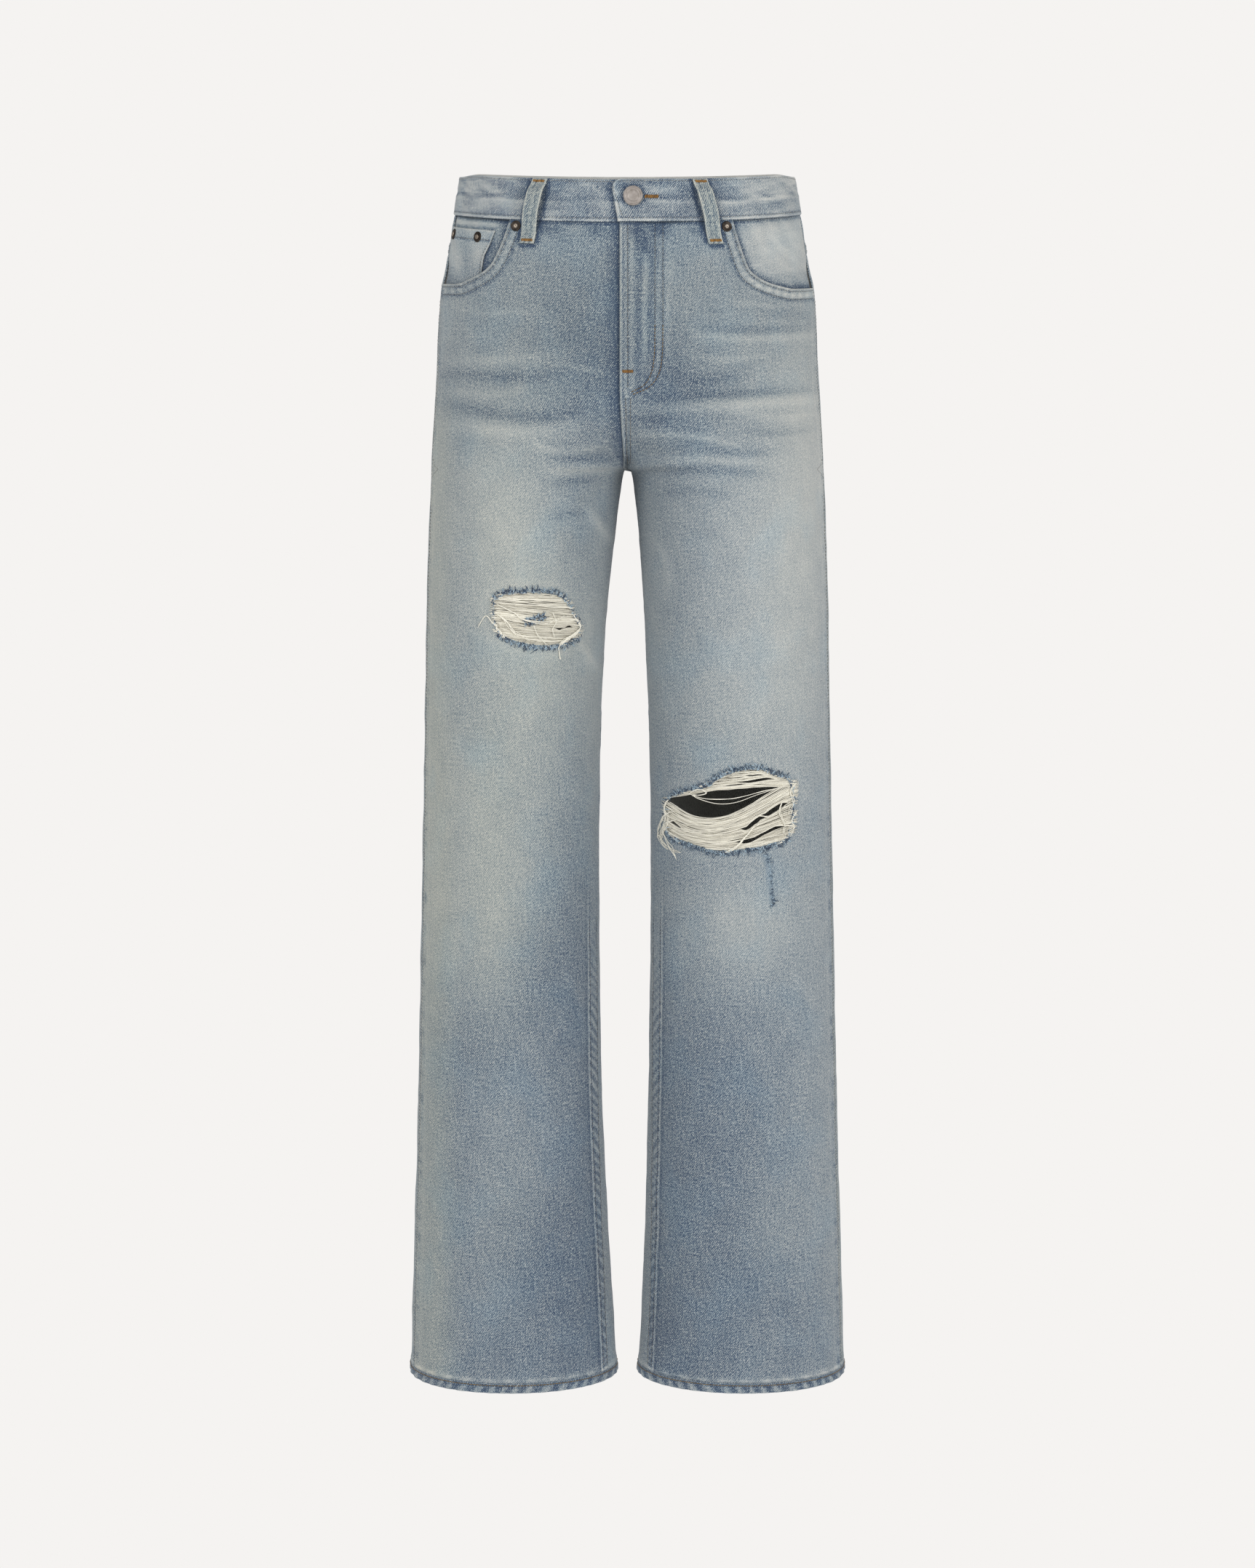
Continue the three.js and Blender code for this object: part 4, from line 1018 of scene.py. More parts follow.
def shade_beside_lap(cloth):
    """Painted shadow on the right front close beside the left one's lap."""
    z, across = cloth.z, cloth.across
    cloth.fade -= 0.16 * hump(across, cloth.lap + 6, 6) * ease(-246, -236, z)
    shade = hump(across, cloth.lap + 0.6, 3.2) * ease(-246, -236, z)
    cloth.fade -= 0.5 * shade + 0.06 * hump(across, 12, 7) * ease(-245, -225, z)


def draw_in_and_shadow_under_band(cloth):
    """The top of a front: a painted shadow just under the waistband, painted shade over the puckers below it
    and painted shadow beside the belt loops, and the cloth puckered where it is sewn in under the waistband.
    """
    z, across = cloth.z, cloth.across
    pucker = np.sin(across / 4.6 + 2 * np.sin(across / 19))
    # Painted shadow just under the waistband, and painted shade over the puckers below it
    cloth.fade -= 0.6 * hump(z, -19.0, 1.4) + (0.12 + 0.14 * pucker) * hump(z, -25, 5)
    loop_painted_shadow(cloth, z < -10)
    cloth.raise_by(-0.5 * ease(-21, -18, z) + 0.25 * hump(z, -24, 4) * np.sin(across / 5.2))


def shape_front(side):
    cloth = front_cloth(side)
    x, z, across = cloth.x, cloth.z, cloth.across
    name = "left" if side > 0 else "right"
    front_wear(cloth, side)
    add_creases(cloth, CREASES)
    cloth.raise_by(0.22 * ripple(x, z, 46, 11 + side) + 0.1 * ripple(x, z, 17, 31 + side))
    seam_edge(cloth, cloth.to_seam)
    shape_inseam(cloth)
    scoop = SCOOPS[side]
    shape_scoop(cloth, scoop)
    edge = KNEE_EDGE if side > 0 else THIGH_EDGE
    shape_tear(cloth, edge, 40 + side)
    if side > 0:
        shape_fly(cloth)
        shape_scar(cloth)
    else:
        shade_beside_lap(cloth)
    draw_in_and_shadow_under_band(cloth)
    pucker_over_hem(cloth)
    cloth.fade += 0.26 * hump(z, PANEL_LOW + 2.6, 1.8) * (1 + 0.5 * np.sin(across / 3.1))
    cloth.settle()
    cloth.cut(np.vstack([smooth_curve(scoop, 2), [(scoop[-1][0], 20), (scoop[0][0], 20)]]))
    cloth.cut(ragged(edge, 0.35, 50 + side))
    cloth_piece(f"front_{name}_cloth", cloth, (OUTSIDE, INSIDE), [f"front_{name}"])
    return cloth


front_left, front_right = shape_front(1), shape_front(-1)


# ---- folded strips: waistband, loops and hems ----

def to_edge(cloth):
    """How far each point of a grid of cloth is from its nearest edge."""
    rows, columns = cloth.z.shape
    down = np.cumsum(np.linalg.norm(np.diff(cloth.points, axis=0), axis=2), axis=0)
    down = np.concatenate([np.zeros((1, columns)), down])
    edge = np.minimum(down, down[-1:] - down)
    if cloth.ring:
        return edge
    wide = np.cumsum(np.linalg.norm(np.diff(cloth.points, axis=1), axis=2), axis=1)
    wide = np.concatenate([np.zeros((rows, 1)), wide], axis=1)
    return np.minimum(edge, np.minimum(wide, wide[:, -1:] - wide))


def folded_piece(name, cloth, middle, half, round_off, materials, nodes, slot):
    """Two layers of a grid of cloth with rounded folds at its edges. middle is how far off the form it is."""
    rows, columns = cloth.z.shape
    share = np.clip(to_edge(cloth) / round_off, 0, 1)
    half = half * np.sqrt(1 - (1 - share) ** 2)
    outer = cloth.points + cloth.normals * (middle + half)[..., None]
    inner = cloth.points + cloth.flat_normals * (middle - half)[..., None]
    index = np.arange(rows * columns).reshape(rows, columns)
    border = np.zeros(index.shape, bool)
    border[[0, -1]] = True
    if not cloth.ring:
        border[:, [0, -1]] = True
    under = np.where(border, index, 0)
    under[~border] = rows * columns + np.arange((~border).sum())

    front, back = (grid_quads(grid, cloth.ring).reshape(-1, 4) for grid in (index, under))
    if cloth.side < 0:
        front, back = front[:, ::-1], back[:, ::-1]
    points = np.concatenate([outer.reshape(-1, 3), inner[~border]])
    piece = make_object(name, points, np.concatenate([front, back[:, ::-1]]).tolist(), materials[0])
    mesh = piece.data
    mesh.materials.append(materials[1])
    mesh.polygons.foreach_set("material_index", np.repeat([0, 1], [len(front), len(back)]).astype(np.int32))

    def both(values):
        size = values.shape[-1]
        return np.concatenate([values.reshape(-1, size), values[~border].reshape(-1, size)])

    add_uv(mesh, both(np.stack([cloth.u, cloth.v], -1)))
    add_values(mesh, "wear_and_shade", both(np.stack([cloth.fade, cloth.warm, cloth.dark], -1)))
    cloth.points = outer
    cloth.settle()
    return finish_piece(piece, nodes)


def edge_rows(high, low, inner_step, near=1.6):
    """Heights from high to low, closer together at both edges."""
    curl = near * (1 - np.cos(np.linspace(0, math.pi / 2, 5)))
    middle = np.linspace(high - near, low + near, max(3, int((high - low - 2 * near) / inner_step)))
    return np.concatenate([high - curl[:-1], middle, (low + curl[:-1])[::-1]])


def on_face(kind, x, z):
    """x and y of the form's front or back at a distance from the middle, on either side."""
    at, y, _ = along(kind, length_at_x(kind, x, z), z)
    return np.sign(x) * at, y


TAB_EDGE = [(17.5, -5.6), (16.9, -8.2), (15.6, -10.6), (13.2, -12.4), (10, -12.9), (0, -11.4), (-17.5, -8.4)]
TAB_REACH = 62
TAB_COLUMNS = 57
UNDERLAP_END = 28
BAND_LAP_LIFT = 3.3


def band_path(rows):
    """x and y of the waistband from the end of its underlap, round the waist and on to the end of its tab."""
    count = len(rows)

    def on_side(kind, share, side):
        x, y, _ = along(kind, np.tile(share, (count, 1)), level_rows(rows, len(share)), share=True)
        return x * side, y

    whole = np.linspace(0, 1, 76)
    under = np.tile(np.linspace(UNDERLAP_END, 0.4, 14), (count, 1))
    parts = [on_face("front face", under, level_rows(rows, under.shape[1])),
             on_side("front face", whole, -1),
             on_side("back face", whole[1:], -1),
             on_side("back face", whole[::-1][1:], 1)]
    reach = length_at_x("front face", np.full(count, TAB_REACH), rows) / total_length("front face", rows)
    share = mix(np.ones((count, 1)), reach[:, None], np.linspace(0, 1, 48)[None, 1:])
    parts.append(along("front face", share, level_rows(rows, share.shape[1]), share=True)[:2])
    t = np.linspace(0, 1, TAB_COLUMNS + 1)[1:]
    x = mix(float(TAB_REACH), through(TAB_EDGE, rows)[:, None], (t - 0.06 * np.sin(2 * math.pi * t))[None])
    parts.append(on_face("front face", x, level_rows(rows, TAB_COLUMNS)))
    return (np.concatenate(part, axis=1) for part in zip(*parts))


def band_cloth():
    rows = edge_rows(BAND_TOP, BAND_LOW - 0.8, 1.7)
    x, y = band_path(rows)
    middle = len(rows) // 2
    step = np.hypot(np.diff(x[middle]), np.diff(y[middle]))
    across = np.tile(np.concatenate([[0], np.cumsum(step)]), (len(rows), 1))
    cloth = Cloth(x, y, level_rows(rows, x.shape[1]), across, side=-1)
    cloth.tab = np.zeros(x.shape, bool)
    cloth.tab[:, -TAB_COLUMNS:] = True
    cloth.raise_by(np.where(cloth.tab, BAND_LAP_LIFT * (1 - ease(32, TAB_REACH, x)), 0))
    cloth.flat_normals = cloth.outward()
    cloth.normals = cloth.flat_normals
    cloth.u, cloth.v = -across, -cloth.z
    return cloth


def shape_band(cloth):
    """The waistband's folds, ridge and fades, with painted shadows beside the loops, the tab and the button;
    its top edge falls a little towards the side seams.
    """
    x, z, across = cloth.x, cloth.z, cloth.across
    cloth.points[..., 2] -= 3.0 * ease(132, 149, np.abs(x)) * ease(0, 17.5, z)
    lower = 1 - ease(-3.5, 0.5, z)
    cloth.raise_by(0.35 * lower + 0.3 * hump(z, -2.4, 1.6) - 0.35 * hump(z, 2.2, 2.0)
                   + 0.3 * ripple(across, z * 0.7, 24, 5)
                   + 0.14 * ripple(across, z, 9, 6))
    cloth.raise_by(-0.3 * hump(z, -15.2, 0.8) - 0.25 * hump(z, 15.4, 0.8))
    front = cloth.y < 0
    ridge = z - 0.8 * np.sin(across / 17) - 0.5 * np.sin(across / 7.3)
    uneven = np.clip(0.65 + 0.45 * ripple(across, z * 0, 19, 12), 0, 1.2)
    cloth.fade += -0.04 + 0.1 * lower + uneven * (0.3 * hump(ridge, -2.6, 1.3) - 0.24 * hump(ridge, 0.8, 1.7))
    # A pale line along the waistband's lower fold and a painted shadow right under it
    cloth.fade += 0.26 * hump(z, -17.2, 0.7) - 0.35 * hump(z, -18.3, 0.45)
    cloth.fade -= 0.22 * hump(z, -15.0, 0.8) + 0.12 * hump(z, 15.2, 0.8)
    cloth.fade += front * (1 - lower) * (0.24 * ease(78, 112, x) + 0.12 * ease(95, 125, -x))
    cloth.fade -= front * lower * 0.15 * hump(np.abs(x), 44, 24)
    cloth.fade += 0.16 * hump(z, 17.3, 1.2) + 0.14 * ripple(across, z * 1.6, 24, 8)
    level = z * 2.4 + 3 * np.sin(across / 21)
    cloth.fade += 0.16 * (1 - lower) * ripple(across * 0.5, level, 13, 9)
    loop_painted_shadow(cloth, front)
    cloth.fade += front * 0.05 * ease(80, 130, np.abs(x))
    # Painted shade on the waistband a little way out from each side of every belt loop
    for _, top, _, kind in LOOPS:
        on_side = front if kind == "front face" else ~front
        for offset, wide in ((-13, 6), (13, 6)):
            cloth.fade -= on_side * 0.22 * hump(x, top + offset, wide) * hump(z, 7, 6)
    tab_edge = cloth.tab * hump(x, through(TAB_EDGE, z) + 1.2, 1.4)
    cloth.fade += 0.34 * tab_edge
    cloth.raise_by(0.2 * tab_edge)
    # Painted shadow on the waistband beside the edge of the lifted tab
    beside = front & ~cloth.tab & (x < 0)
    cloth.fade -= beside * 0.55 * hump(x, through(TAB_EDGE, z) - 1.5, 3)
    # A painted shadow in a ring round the button, on the tab
    cloth.fade -= cloth.tab * 0.42 * hump(np.hypot(x - 5, z - 3.3), 9.6, 1.8)


FOLD = ((BAND_OUT + BAND_IN) / 2, (BAND_OUT - BAND_IN) / 2)    # middle and half thickness of a folded strip
band = band_cloth()
shape_band(band)
folded_piece("waistband_cloth", band, *FOLD, 1.6, (BAND, INSIDE), ["waistband"], "denim")

# A belt loop's height off the cloth at each height down the garment
LOOP_STANDOFF = [(LOOP_TOP, 1.4), (12, 2.8), (6, 7.1), (0, 7.8), (-8, 7.8), (-16, 6.4), (-24, 3), (-31, 0.6),
                 (LOOP_FOOT, 0.6)]


def loop_cloth(top, low, kind):
    rows = edge_rows(LOOP_TOP, LOOP_FOOT, 1.7, 1.0)
    t = np.linspace(-1, 1, 19)
    t = np.sin(t * math.pi / 2) * 0.35 + t * 0.65
    middle = loop_middle(top, low, rows)
    x, y = on_face(kind, middle, rows)
    ahead, y_ahead = on_face(kind, middle + 4, rows)
    slope = np.hypot(ahead - x, y_ahead - y) / 4
    x = middle[:, None] + t[None] * (LOOP_WIDTH / 2) / slope[:, None]
    z = level_rows(rows, len(t))
    flip = -1 if kind == "back face" else 1
    x, y = on_face(kind, x[:, ::flip] + 1e-4, z)
    cloth = Cloth(x, y, z, np.tile(t * LOOP_WIDTH / 2, (len(rows), 1)))
    lift = through(LOOP_STANDOFF, z) + 0.8
    if kind == "front face" and top > 0:
        lift = lift + BAND_LAP_LIFT * (1 - ease(32, TAB_REACH, x)) * (z > BAND_LOW - 2)
    cloth.raise_by(lift)
    cloth.flat_normals = cloth.outward()
    cloth.normals = cloth.flat_normals
    cloth.fade += 0.02
    cloth.warm += 0.85
    for offset in (-2.2, 2.2):
        cloth.raise_by(-0.35 * hump(cloth.across, offset, 0.8))
        cloth.fade -= 0.2 * hump(cloth.across, offset, 0.8)
    cloth.raise_by(0.12 * ripple(cloth.across, cloth.z, 9, 200 + int(top)))
    cloth.fade += 0.24 * hump(np.abs(cloth.across), 6.3, 0.8) + 0.1 * ripple(cloth.across * 2, cloth.z, 12, 3)
    return cloth


loops = {}
for loop_name, loop_top, loop_low, loop_kind in LOOPS:
    loops[loop_name] = loop_cloth(loop_top, loop_low, loop_kind)
    folded_piece(f"belt_loop_{loop_name}_cloth", loops[loop_name], 0.0, 0.8, 0.9, (LOOP, LOOP),
                 [f"belt_loop_{loop_name}"], "denim")


def hem_cloth(side):
    rows = edge_rows(HEM_Z + HEM_HEIGHT + 0.6, HEM_Z, 1.0, 1.5)
    share = np.linspace(0, 1, 320, endpoint=False)
    z = level_rows(rows, len(share))
    x, y, across = along("leg", np.broadcast_to(share, z.shape), z, share=True)
    cloth = Cloth(x * side, y, z, across, side, ring=True)
    cloth.flat_normals = cloth.normals
    rope = np.sin(across / 2.0 + z / 3.2 + 1.3 * np.sin(across / 11) + 0.8 * np.sin(across / 29))
    low = 1 - ease(-1060, -1057.6, z)
    cloth.raise_by(0.42 * rope * low + 0.2 * ripple(across, z, 18, 17 + side) - 0.3 * hump(z, -1058.6, 0.8))
    cloth.fade += -0.14 + 0.26 * rope * low + 0.06 * hump(z, HEM_Z, 1.0) - 0.2 * hump(z, -1059.2, 1.3)
    cloth.u = side * across
    return cloth


hems = {}
for hem_name, hem_side in SIDES.items():
    hems[hem_name] = hem_cloth(hem_side)
    folded_piece(f"hem_{hem_name}_cloth", hems[hem_name], *FOLD, 1.5, (HEM, INSIDE), [f"hem_{hem_name}"],
                 "hem_denim")


# ---- pocket facings and the coin pocket ----

FACING_OUT = -2.1
COIN_DEPTH = 1.6
COIN_EDGE = [(-28, 115.5), (-38, 119.5), (-54.5, 126.5), (-66.6, 127.6), (-92, 128)]


def facing_rise(to_seam, z):
    return -FACING_OUT * (1 - ease(6, 34, to_seam)) * ease(-72, -52, z)


def facing_cloth(side):
    rows = levels(PANEL_TOP, -93, 2.2)
    share = np.linspace(0.38, 1, 46)
    z = level_rows(rows, len(share))
    x, y, across = along("front", np.broadcast_to(share, z.shape), z, share=True)
    cloth = Cloth(x * side, y, z, across, side)
    cloth.to_seam = total_length("front", rows)[:, None] - across
    cloth.u = side * (across - mid_leg("front", z))
    cloth.raise_by(FACING_OUT - (COIN_DEPTH if side < 0 else 0) + facing_rise(cloth.to_seam, z)
                   + 0.35 * ripple(x, z, 30, 61 + side) - 0.4 * ease(-21, -18, z))
    cloth.fade += 0.16 if side < 0 else 0.36
    cloth.warm += 0.2 if side < 0 else 0.1
    # Painted shadow on the facing just under the waistband
    cloth.fade -= 0.55 * hump(z, -18.8, 1.9) + 0.1 * hump(z, -22, 3)
    cloth.fade -= 0.1 * ease(-62, -80, z)
    # Painted shadow on the facing under the scoop's turned edge
    distance = nearest(smooth_curve(SCOOPS[side], 3), cloth.x, z)[0]
    cloth.fade -= 0.6 * hump(distance, 0, 3.6) + 0.2 * hump(distance, 0, 15)
    cloth.fade += 0.06 * ripple(x + z, z - x, 17, 64 + side)
    if side < 0:
        # Painted shadow along the coin pocket's edge
        distance = np.abs(np.abs(x) - through(COIN_EDGE, z))
        cloth.fade -= 0.6 * hump(distance, 0, 4.0) * ease(-30, -44, z)
        # Painted light on this facing just below the waistband, towards the side seam, where it lies in shade
        cloth.fade += 0.3 * hump(z, -22.6, 3.0) * ease(110, 118, np.abs(x))
        # A painted shadow in a zigzag just above the coin pocket's top edge
        cloth.fade -= 0.34 * hump(z + 0.9 * np.sin(x / 1.9), -26.8, 1.2) * (np.abs(x) > 115)
    cloth.settle()
    return cloth


def coin_cloth():
    rows = levels(-28.2, -91, 1.8)
    total = total_length("front", rows)
    start = length_at_x("front", through(COIN_EDGE, rows), rows)
    t = np.linspace(0, 1, 34)
    across = mix(start[:, None], total[:, None], t[None])
    z = level_rows(rows, across.shape[1])
    x, y, _ = along("front", across, z)
    cloth = Cloth(-x, y, z, across, side=-1)
    cloth.to_seam = total[:, None] - across
    cloth.u = -(across - mid_leg("front", z))
    edge = across - start[:, None]
    hem = ease(-38.6, -37.2, z)
    cloth.raise_by(FACING_OUT + facing_rise(cloth.to_seam, z) + 0.45 * hem + 0.35 * hump(edge, 1.2, 1.2)
                   + 0.3 * ripple(x, z, 22, 71) - 0.3 * hump(z, -36.6, 0.7))
    cloth.fade += 0.19 + 0.3 * hump(z, -28.5, 1.2) + 0.26 * hump(edge, 0.6, 1.0) - 0.24 * ease(-50, -78, z)
    cloth.fade -= 0.42 * hump(z, -36.8, 1.0) + 0.2 * hump(edge, 2.4, 0.9)
    cloth.fade += 0.13 * ripple(x * 1.3, z * 0.6, 24, 72)
    cloth.warm += 0.15
    cloth.settle()
    return cloth


facings = {}
for facing_name, facing_side in SIDES.items():
    facings[facing_name] = facing_cloth(facing_side)
    cloth_piece(f"pocket_facing_{facing_name}_cloth", facings[facing_name], (FACING, INSIDE),
                [f"pocket_facing_{facing_name}"], PATCH_WALL)
coin = coin_cloth()
cloth_piece("coin_pocket_cloth", coin, (FACING, INSIDE), ["coin_pocket"], PATCH_WALL)


# ---- backs, yokes and back pockets ----

YOKE_SIDE, YOKE_CENTRE, SEAT_Z = -50.0, -84.0, -90.0
BACK_WEAR = [
    (95, -175, 70, 75, 0.24, 0.2),          # seat
    (100, -330, 62, 110, 0.12, 0.2),
    (100, -600, 60, 90, -0.08, 0.0),
    (30, -300, 24, 90, -0.2, 0.0),
    (95, -820, 62, 120, -0.08, 0.0),
    (95, -960, 60, 60, 0.05, 0.1),
    (100, -560, 150, 700, 0.07, 0.0),
]
# Under the seat, behind the knee and over the calf, on each leg: distance from the middle and height
BACK_CREASES = [
    ([(20, -236), (70, -262), (150, -256)], 9, -1.6, -0.07),
    ([(26, -256), (80, -284), (158, -276)], 8, 1.3, 0.06),
    ([(34, -300), (80, -316), (140, -306)], 8, -1.0, -0.05),
    ([(34, -520), (90, -534), (160, -522)], 9, -1.5, -0.07),
    ([(36, -546), (96, -556), (166, -548)], 9, 1.4, 0.08),
    ([(40, -572), (90, -584), (150, -574)], 9, -1.2, -0.06),
    ([(60, -600), (110, -606), (168, -596)], 8, 0.9, 0.05),
    ([(50, -850), (110, -864), (172, -856)], 12, -0.9, -0.03),
    ([(8, -128), (30, -150), (44, -186)], 7, 0.8, 0.04),
]


def yoke_seam(share):
    return mix(YOKE_SIDE, YOKE_CENTRE, share)


def back_grid(side, share, z):
    share = np.broadcast_to(share, z.shape)
    x, y, across = along("back", share, z, share=True)
    cloth = Cloth(x * side, y, z, across, side)
    cloth.to_seam = across
    cloth.u = side * (across - 142)
    cloth.share = share
    return cloth


def back_cloth(side):
    share = column_shares(BACK_COLUMNS)
    lower = levels(SEAT_Z, PANEL_LOW, BACK_ROW, [(-228, -252, 2.0), (PANEL_LOW + 20, PANEL_LOW, 2.2)])
    t = np.linspace(0, 1, 9)[:-1, None]
    upper = mix(yoke_seam(share)[None], SEAT_Z, t)
    z = np.concatenate([upper, level_rows(lower, len(share))])
    cloth = back_grid(side, share, z)
    fade, warm = wear_at(BACK_WEAR, np.abs(cloth.x), z)
    cloth.fade += fade
    cloth.warm += warm + 0.4 * ease(160, 172, np.abs(cloth.x)) * ease(-150, -215, z)
    mirrored = cloth.x.copy()
    cloth.x = np.abs(cloth.x)
    add_creases(cloth, BACK_CREASES)
    cloth.x = mirrored
    cloth.raise_by(0.35 * ripple(cloth.x, z, 60, 81 + side) + 0.12 * ripple(cloth.x, z, 19, 91 + side))
    seam_edge(cloth, cloth.across, 9)
    centre = total_length("back", z.ravel()).reshape(z.shape) - cloth.across
    rise = ease(-246, -236, z)
    rope = np.sin(z / 1.9 + 1.4 * np.sin(z / 9.0))
    cloth.raise_by(0.7 * (1 - ease(6.6, 8.4, centre)) * rise + 0.16 * rope * hump(centre, 4, 2.6)
                   - 0.3 * hump(centre, 1.2, 0.7) - 0.3 * hump(centre, 7, 0.8) * rise)
    cloth.fade += 0.12 * hump(centre, 8, 1.2) * rise - 0.06 * rope * hump(centre, 4, 2.4)
    below = yoke_seam(cloth.share) - z
    cloth.raise_by(-0.4 * hump(below, 0, 1.2))
    cloth.fade += 0.08 * hump(below, 3, 2)
    pucker_over_hem(cloth)
    cloth.fade += 0.16 * hump(z, PANEL_LOW + 3.0, 2.2)
    cloth.settle()
    return cloth


def yoke_cloth(side):
    share = column_shares(YOKE_COLUMNS)
    t = np.linspace(0, 1, 24)[:, None]
    z = mix(PANEL_TOP, yoke_seam(share)[None], t)
    cloth = back_grid(side, share, z)
    above = z - yoke_seam(cloth.share)
    cloth.raise_by(0.3 * ripple(cloth.x, z, 44, 101 + side) - 0.5 * ease(-21, -18, z)
                   + 0.5 * (1 - ease(7, 9, above)) - 0.3 * hump(above, 1.6, 0.7) - 0.3 * hump(above, 8, 0.8))
    cloth.fade += 0.1 * hump(above, 0.5, 1.2) + 0.06 * hump(z, -45, 20)
    seam_edge(cloth, cloth.across, 9)
    cloth.settle()
    return cloth


BACK_POCKET = {"centre": 142, "top": 76, "low": 64, "z": -98, "straight": 122, "point": 34}


def pocket_cloth(side):
    across = np.linspace(-1, 1, 47)
    down = np.linspace(0, 1, 49)[:, None]
    p = BACK_POCKET
    z = p["z"] - down * (p["straight"] + p["point"] * (1 - np.abs(across[None])))
    half = mix(p["top"], p["low"], down)
    x, y, length = along("back", p["centre"] + across[None] * half, z)
    cloth = Cloth(x * side, y, z, length, side)
    cloth.u = side * (length - p["centre"])
    edge = np.minimum((1 - np.abs(across[None])) * half, (1 - down) * (p["straight"] + p["point"] / 2))
    top = down * p["straight"]
    cloth.raise_by(1.9 + 0.3 * ripple(x, z, 40, 111 + side) - 0.7 * hump(edge, 0, 1.6)
                   - 0.28 * hump(edge, 2.4, 0.7) - 0.28 * hump(edge, 8.6, 0.8)
                   + 0.35 * (1 - ease(12, 13.5, top)))
    cloth.fade += 0.12 + 0.12 * hump(edge, 0.6, 1.2) + 0.1 * hump(top, 0.6, 1.2) - 0.05 * hump(edge, 11, 2)
    cloth.settle()
    return cloth


backs, yokes, back_pockets = {}, {}, {}
for back_name, back_side in SIDES.items():
    for kind, made, make, wall in (("back", backs, back_cloth, DENIM), ("yoke", yokes, yoke_cloth, DENIM),
                                   ("back_pocket", back_pockets, pocket_cloth, PATCH_WALL)):
        node = f"{kind}_{back_name}"
        made[back_name] = make(back_side)
        cloth_piece(f"{node}_cloth", made[back_name], (OUTSIDE, INSIDE), [node], wall)


# ---- bared weft threads, torn warp and loose ends ----

THREAD_STEPS = 30


def weft(left, right, bows, count, slots=(), seed=1, deep=(-0.9, -1.9), spare=3.6, skew=1.0, peaked=1.0):
    """Threads from the left curve to the right. bows is how far the first and last sag; slots part them."""
    wild = np.random.default_rng(seed)
    level = (np.arange(count) + wild.uniform(-0.35, 0.35, count)) / (count - 1)
    level = np.clip(level, 0, 1)
    a, b = (read_line(np.array(end), level, np.linspace(0, 1, len(end))) for end in (left, right))
    t = np.linspace(0, 1, THREAD_STEPS)[None]
    long = np.linalg.norm(b - a, axis=1)
    spare_a, spare_b = wild.uniform(0.4, spare, count), wild.uniform(0.4, spare, count)
    run = (b - a)[:, None, :] * (1 + (spare_a + spare_b) / long)[:, None, None]
    start = a[:, None] - (b - a)[:, None] * (spare_a / long)[:, None, None]
    path = start + run * t[..., None]
    x, z = path[..., 0], path[..., 1]
    sag = (4 * t**skew * (1 - t**skew)) ** mix(peaked, 1.0, level)[:, None]
    z = z + mix(bows[0], bows[1], level)[:, None] * sag
    for wave, size in ((1.0, 0.45), (2.3, 0.28), (5.0, 0.12)):
        phase = wild.uniform(0, 2 * math.pi, (count, 1))
        turns = wave * 2 * math.pi * t * wild.uniform(0.7, 1.4, (count, 1))
        z = z + size * np.sin(turns + phase) * np.sin(math.pi * t)
    bundle = level * count / wild.uniform(3.6, 5.4) + 0.5 * np.sin(level * 17)
    z = z - 0.5 * np.sin(2 * math.pi * bundle)[:, None] * (0.5 + 0.5 * np.sin(2.2 * t + 6.3 * level[:, None]))
    astray = (wild.uniform(0, 1, (count, 1)) < 0.16) * wild.normal(0, 1.5, (count, 1))
    z = z + astray * np.sin(math.pi * t) * np.sin(wild.uniform(1.5, 4, (count, 1)) * t + level[:, None] * 9)
    for slot_x, slot_z, wide, tall, slope in slots:
        line = slot_z + (x - slot_x) * slope
        nearest_step = np.abs(x - slot_x).argmin(1)
        over = (z[np.arange(count), nearest_step] >= slot_z)[:, None]
        room = tall * wild.uniform(0.9, 1.5, (count, 1)) * np.exp(-(((x - slot_x) / wide) ** 4))
        beside = np.where(over, np.maximum(z, line + room), np.minimum(z, line - room))
        z = mix(z, beside, np.exp(-(((x - slot_x) / (1.25 * wide)) ** 4)))
    depth = mix(deep[0], deep[1], np.sin(math.pi * t) ** 0.5)
    depth = depth + wild.uniform(-0.3, 0.3, (count, 1)) + 0.2 * np.sin(9 * t + wild.uniform(0, 6, (count, 1)))
    for end in (t, 1 - t):
        over = wild.uniform(0, 1, (count, 1)) < 0.3
        depth = np.where(over, mix(0.7, depth, ease(0.0, 0.12, end)), depth)
    radius = wild.uniform(0.26, 0.44, (count, 1)) * np.ones((1, THREAD_STEPS))
    tone = wild.normal(0.7, 0.15, count) + 0.1 * np.sin(2 * math.pi * bundle)
    return x, z, depth, radius, tone


def lay_threads(name, cloth, groups, nodes, material=CREAM):
    """Puts groups of threads given in x, z and height onto a piece of cloth, as one mesh."""
    paths, normals, radii, tones = [], [], [], []
    for x, z, depth, radius, tone in groups:
        points, outward = cloth.spot("x", x, z, depth.ravel() if np.ndim(depth) else depth)
        paths.append(points.reshape(*x.shape, 3))
        normals.append(outward.reshape(*x.shape, 3))
        radii.append(radius)
        tones.append(tone)
    piece = tubes(name, np.concatenate(paths), np.concatenate(normals), np.concatenate(radii),
                  np.clip(np.concatenate(tones), 0.05, 1), material)
    return finish_piece(piece, nodes)


